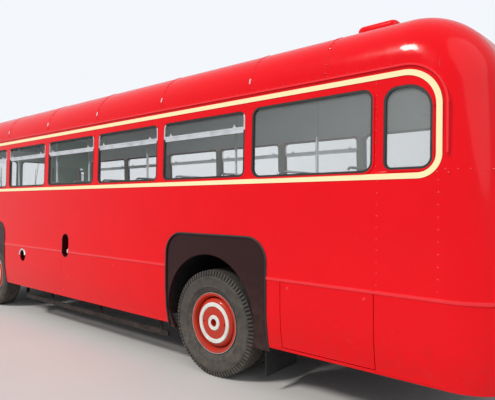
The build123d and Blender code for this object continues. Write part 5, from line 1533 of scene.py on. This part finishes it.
class BUS_OT_saloon(bpy.types.Operator):
    """Finish the floor, the seat frames with their handles, the poles and the ceiling lamps"""

    bl_idname = "bus.saloon"
    bl_label = "Saloon"

    def execute(self, context):
        trim = context.scene.bus_trim
        dress("floor", ["floor_brown", "chassis_paint"], choose=lambda face: 1 if face.normal.z < -0.5 else 0)
        dress("wheel_boxes", ["lining_paint", "chassis_paint"], choose=wheel_box_slot)
        dress("wheel_box_benches", ["lining_paint"])
        dress("seat_frames", ["chrome"])
        dress("grab_rails", ["chrome"])
        dress("cab_partition", ["lining_paint"])
        handles = bmesh.new()
        up = Vector((math.sin(SQUAB_LEAN), 0, math.cos(SQUAB_LEAN)))
        back = Vector((math.cos(SQUAB_LEAN), 0, -math.sin(SQUAB_LEAN)))
        for x in SEAT_FRONTS:
            for side in (NEAR, OFF):
                foot = Vector((x + 0.428, 0, SEAT_TOP - 0.03)) + back * 0.050
                ends = []
                for y in (SEAT_INNER + 0.05, SEAT_OUTER - 0.12):
                    ends.append((Vector((0, side * y, 0)) + foot + up * 0.50, Vector((0, side * y, 0)) + foot + up * 0.60))
                path = [ends[0][0], ends[0][1], ends[1][1], ends[1][0]]
                add_tube(handles, rounded_path(path, 0.07), trim.tube_radius, 8, 0)
                low = Vector((x + 0.42, side * (SEAT_INNER + 0.02), SEAT_TOP - 0.10))
                add_tube(handles, [low, low + up * 0.10, low + up * 0.50 + back * 0.02], trim.tube_radius, 8, 0)
        new_piece("seat_handles", handles, ["chrome"], "body")
        backs = bmesh.new()
        for x in SEAT_FRONTS:
            for side in (NEAR, OFF):
                middle = (SEAT_OUTER + SEAT_INNER) / 2
                foot = Vector((x + 0.428, side * middle, SEAT_TOP - 0.03)) + back * 0.0725 + up * 0.27
                turn = Matrix.Rotation(SQUAB_LEAN, 4, "Y")
                size = Vector((0.004, 0.40, 0.25))
                add_box(backs, foot - size, foot + size, 0.003, 0, turn)
        new_piece("seat_back_panels", backs, ["dash_black"], "body")
        lamps = bmesh.new()
        for x in [PILLARS[k] - BAY_PITCH / 2 for k in range(6)]:
            for side in (NEAR, OFF):
                y = side * 0.52
                z = ROOF_Z - 0.045 - y * y / (2 * 5.955)
                dome = [(0.0, 0.050, 0), (0.030, 0.047, 0), (0.055, 0.034, 0), (0.066, 0.014, 0), (0.068, 0.004, 1),
                        (0.080, 0.003, 1), (0.080, -0.002, 1)]
                add_lathe(lamps, dome, (x, y, z - 0.001), (0, 0, -1), 20, closed=False)
        new_piece("ceiling_lamps", lamps, ["cream_lens", "bright_alloy"], "body")
        return {"FINISHED"}


class BUS_OT_cab(bpy.types.Operator):
    """Finish the dashboard with blank dials, the steering wheel and the driver's seat frame"""

    bl_idname = "bus.cab"
    bl_label = "Cab"

    def execute(self, context):
        dress("dashboard", ["dash_black"])
        dress("driver_seat_frame", ["chassis_paint"])
        centre, foot = Vector((-4.200, 0.640, 1.640)), Vector((-4.440, 0.640, FLOOR_Z + 0.0077))
        slope = (centre - foot).normalized()
        column = bmesh.new()
        add_tube(column, [foot, centre - slope * 0.02], 0.022, 20, 1)
        side = slope.orthogonal().normalized()
        third = slope.cross(side)
        steps = 56
        ring = []
        for k in range(steps + 1):
            turn = 2 * math.pi * k / steps
            ring.append(centre + (side * math.cos(turn) + third * math.sin(turn)) * 0.225)
        add_tube(column, ring, 0.0128, 12, 0)
        for k in range(3):
            turn = 2 * math.pi * k / 3
            way = side * math.cos(turn) + third * math.sin(turn)
            add_tube(column, [centre + way * 0.03, centre + way * 0.222], 0.0075, 8, 2)
        boss = [(0.0, 0.022, 0), (0.030, 0.019, 0), (0.044, 0.008, 0), (0.045, -0.018, 0), (0.0, -0.020, 0)]
        add_lathe(column, boss, centre, slope, 28, closed=False)
        piece = new_piece("steering_wheel_and_column", column, ["dash_black", "chassis_paint", "chrome"], "body")
        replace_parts(piece, "steering_column")
        low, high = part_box("dashboard")
        dials = bmesh.new()
        for y, radius in ((0.50, 0.050), (0.64, 0.062), (0.78, 0.050)):
            spot = (high.x + 0.001, y, 1.450)
            add_lathe(dials, [(0.0, 0.002, 0), (radius - 0.008, 0.002, 1), (radius - 0.004, 0.008, 1),
                              (radius, 0.006, 1), (radius, -0.002, 1)], spot, (1, 0, 0), 32, closed=False)
        new_piece("blank_dials", dials, ["ring_paint", "chrome"], "body")
        return {"FINISHED"}


# Chassis

class BUS_OT_chassis(bpy.types.Operator):
    """Paint the frame, axles, springs, power unit, tanks and exhaust, and rivet the rails"""

    bl_idname = "bus.chassis"
    bl_label = "Chassis"

    def execute(self, context):
        table = [  # node, finish, body
            ("chassis_frame", "chassis_paint", "body"),
            ("front_axle_beam", "chassis_paint", "body"),
            ("rear_axle_casing", "chassis_paint", "body"),
            ("road_springs", "chassis_paint", "body"),
            ("knuckle_left", "chassis_paint", "knuckle_left"),
            ("knuckle_right", "chassis_paint", "knuckle_right"),
            ("track_rod", "chassis_paint", "track_rod"),
            ("engine_block", "engine_paint", "body"),
            ("gearbox_and_propshaft", "engine_paint", "body"),
            ("radiator", "chassis_paint", "body"),
            ("tanks", "chassis_paint", "body"),
            ("exhaust", "exhaust_iron", "body"),
        ]
        for node, finish, body in table:
            dress(node, [finish], body)
        lines = []
        for side in (NEAR, OFF):
            for z in (0.70, 0.86):
                way = Vector((0, side, 0))
                lines.append([(Vector((x, side * 0.466, z)), way) for x in (-4.3, 0.0, 4.2)])
        stud_lines("rail_rivets", lines, 0.16, 0.010, 0.006, "chassis_paint")
        return {"FINISHED"}


# Floor, light and camera

class BUS_OT_stage(bpy.types.Operator):
    """Set the floor, the soft light, the background and the camera"""

    bl_idname = "bus.stage"
    bl_label = "Stage"

    def execute(self, context):
        stage = context.scene.bus_stage
        scene = context.scene
        scene.view_settings.view_transform = "Standard"
        ground = bmesh.new()
        bmesh.ops.create_grid(ground, x_segments=1, y_segments=1, size=60)
        mesh = bpy.data.meshes.new("studio_floor")
        ground.to_mesh(mesh)
        ground.free()
        floor = bpy.data.objects.new("studio_floor", mesh)
        scene.collection.objects.link(floor)
        surface = Surface("studio_floor_grey")
        grey = surface.group("uneven_finish", {
            "Color": (0.62, 0.61, 0.60, 1), "Shade": (0.54, 0.53, 0.52, 1), "Low Roughness": 0.7,
            "High Roughness": 0.85, "Scale": 0.8, "Ripple": 0.05, "Ripple Scale": 40.0,
        })
        mesh.materials.append(surface.feed(grey, Normal=grey["Normal"]))
        world = bpy.data.worlds.new("soft_sky")
        scene.world = world
        world.use_nodes = True
        sky = Tree(world.node_tree)
        background = world.node_tree.nodes["Background"]
        path = sky.node("ShaderNodeLightPath")
        seen = sky.math("ADD", path.outputs["Is Camera Ray"], path.outputs["Is Transmission Ray"], clamp=True)
        seen = sky.math("ADD", seen, sky.math("MULTIPLY", path.outputs["Is Glossy Ray"], 0.55), clamp=True)
        strength = sky.spread(seen, 0.0, 1.0, stage.sky_strength, 1.0)
        background.inputs["Color"].default_value = (0.90, 0.93, 0.97, 1)
        world.node_tree.links.new(strength, background.inputs["Strength"])
        key = bpy.data.lights.new("key_lamp", "SUN")
        key.energy = stage.key_strength
        key.angle = math.radians(12)
        key.color = (1.0, 0.97, 0.92)
        lamp = bpy.data.objects.new("key_lamp", key)
        lamp.rotation_euler = Vector((0.35, 0.95, -0.95)).to_track_quat("-Z", "Y").to_euler()
        scene.collection.objects.link(lamp)
        fill = bpy.data.lights.new("fill_lamp", "SUN")
        fill.energy = 0.9
        fill.angle = math.radians(60)
        fill_lamp = bpy.data.objects.new("fill_lamp", fill)
        fill_lamp.rotation_euler = Vector((-0.9, 0.25, -0.75)).to_track_quat("-Z", "Y").to_euler()
        scene.collection.objects.link(fill_lamp)
        camera = bpy.data.cameras.new("photo_camera")
        camera.sensor_width = 36
        camera.lens = stage.focal_length
        camera.clip_end = 200
        viewer = bpy.data.objects.new("photo_camera", camera)
        viewer.location = CAMERA_PLACE
        viewer.rotation_euler = Vector(CAMERA_WAY).to_track_quat("-Z", "Y").to_euler()
        scene.collection.objects.link(viewer)
        scene.camera = viewer
        return {"FINISHED"}


MAKING_ORDER = [
    BUS_OT_body_panels, BUS_OT_bands, BUS_OT_rivets, BUS_OT_windows, BUS_OT_doors, BUS_OT_arches, BUS_OT_wheels,
    BUS_OT_tyres, BUS_OT_lamps, BUS_OT_mirrors, BUS_OT_fittings, BUS_OT_cushions, BUS_OT_saloon, BUS_OT_cab,
    BUS_OT_chassis, BUS_OT_stage,
]


class BUS_PT_dressing(bpy.types.Panel):
    """Sidebar panel with the sizes, colours and steps of the bus"""

    bl_label = "Bus dressing"
    bl_idname = "BUS_PT_dressing"
    bl_space_type = "VIEW_3D"
    bl_region_type = "UI"
    bl_category = "Bus"

    def draw(self, context):
        for name in SETTINGS:
            box = self.layout.box()
            group = getattr(context.scene, name)
            for key in group.bl_rna.properties.keys():
                if key not in ("rna_type", "name"):
                    box.prop(group, key)
        for step in MAKING_ORDER:
            self.layout.operator(step.bl_idname)


SETTINGS = {
    "bus_paint": BusPaintSettings,
    "bus_trim": BusTrimSettings,
    "bus_tyres": BusTyreSettings,
    "bus_seats": BusSeatSettings,
    "bus_stage": BusStageSettings,
}


def register():
    """Register the settings, operators and panel."""
    for name, group in SETTINGS.items():
        bpy.utils.register_class(group)
        setattr(bpy.types.Scene, name, bpy.props.PointerProperty(type=group))
    for step in MAKING_ORDER:
        bpy.utils.register_class(step)
    bpy.utils.register_class(BUS_PT_dressing)


def unregister():
    """Remove the panel, operators and settings."""
    bpy.utils.unregister_class(BUS_PT_dressing)
    for step in reversed(MAKING_ORDER):
        bpy.utils.unregister_class(step)
    for name, group in reversed(SETTINGS.items()):
        delattr(bpy.types.Scene, name)
        bpy.utils.unregister_class(group)


def main():
    """Make every piece in order."""
    register()
    FINISHES.update(make_finishes(bpy.context.scene.bus_paint))
    for step in MAKING_ORDER:
        area, action = step.bl_idname.split(".")
        getattr(getattr(bpy.ops, area), action)()


if __name__ == "__main__":
    main()
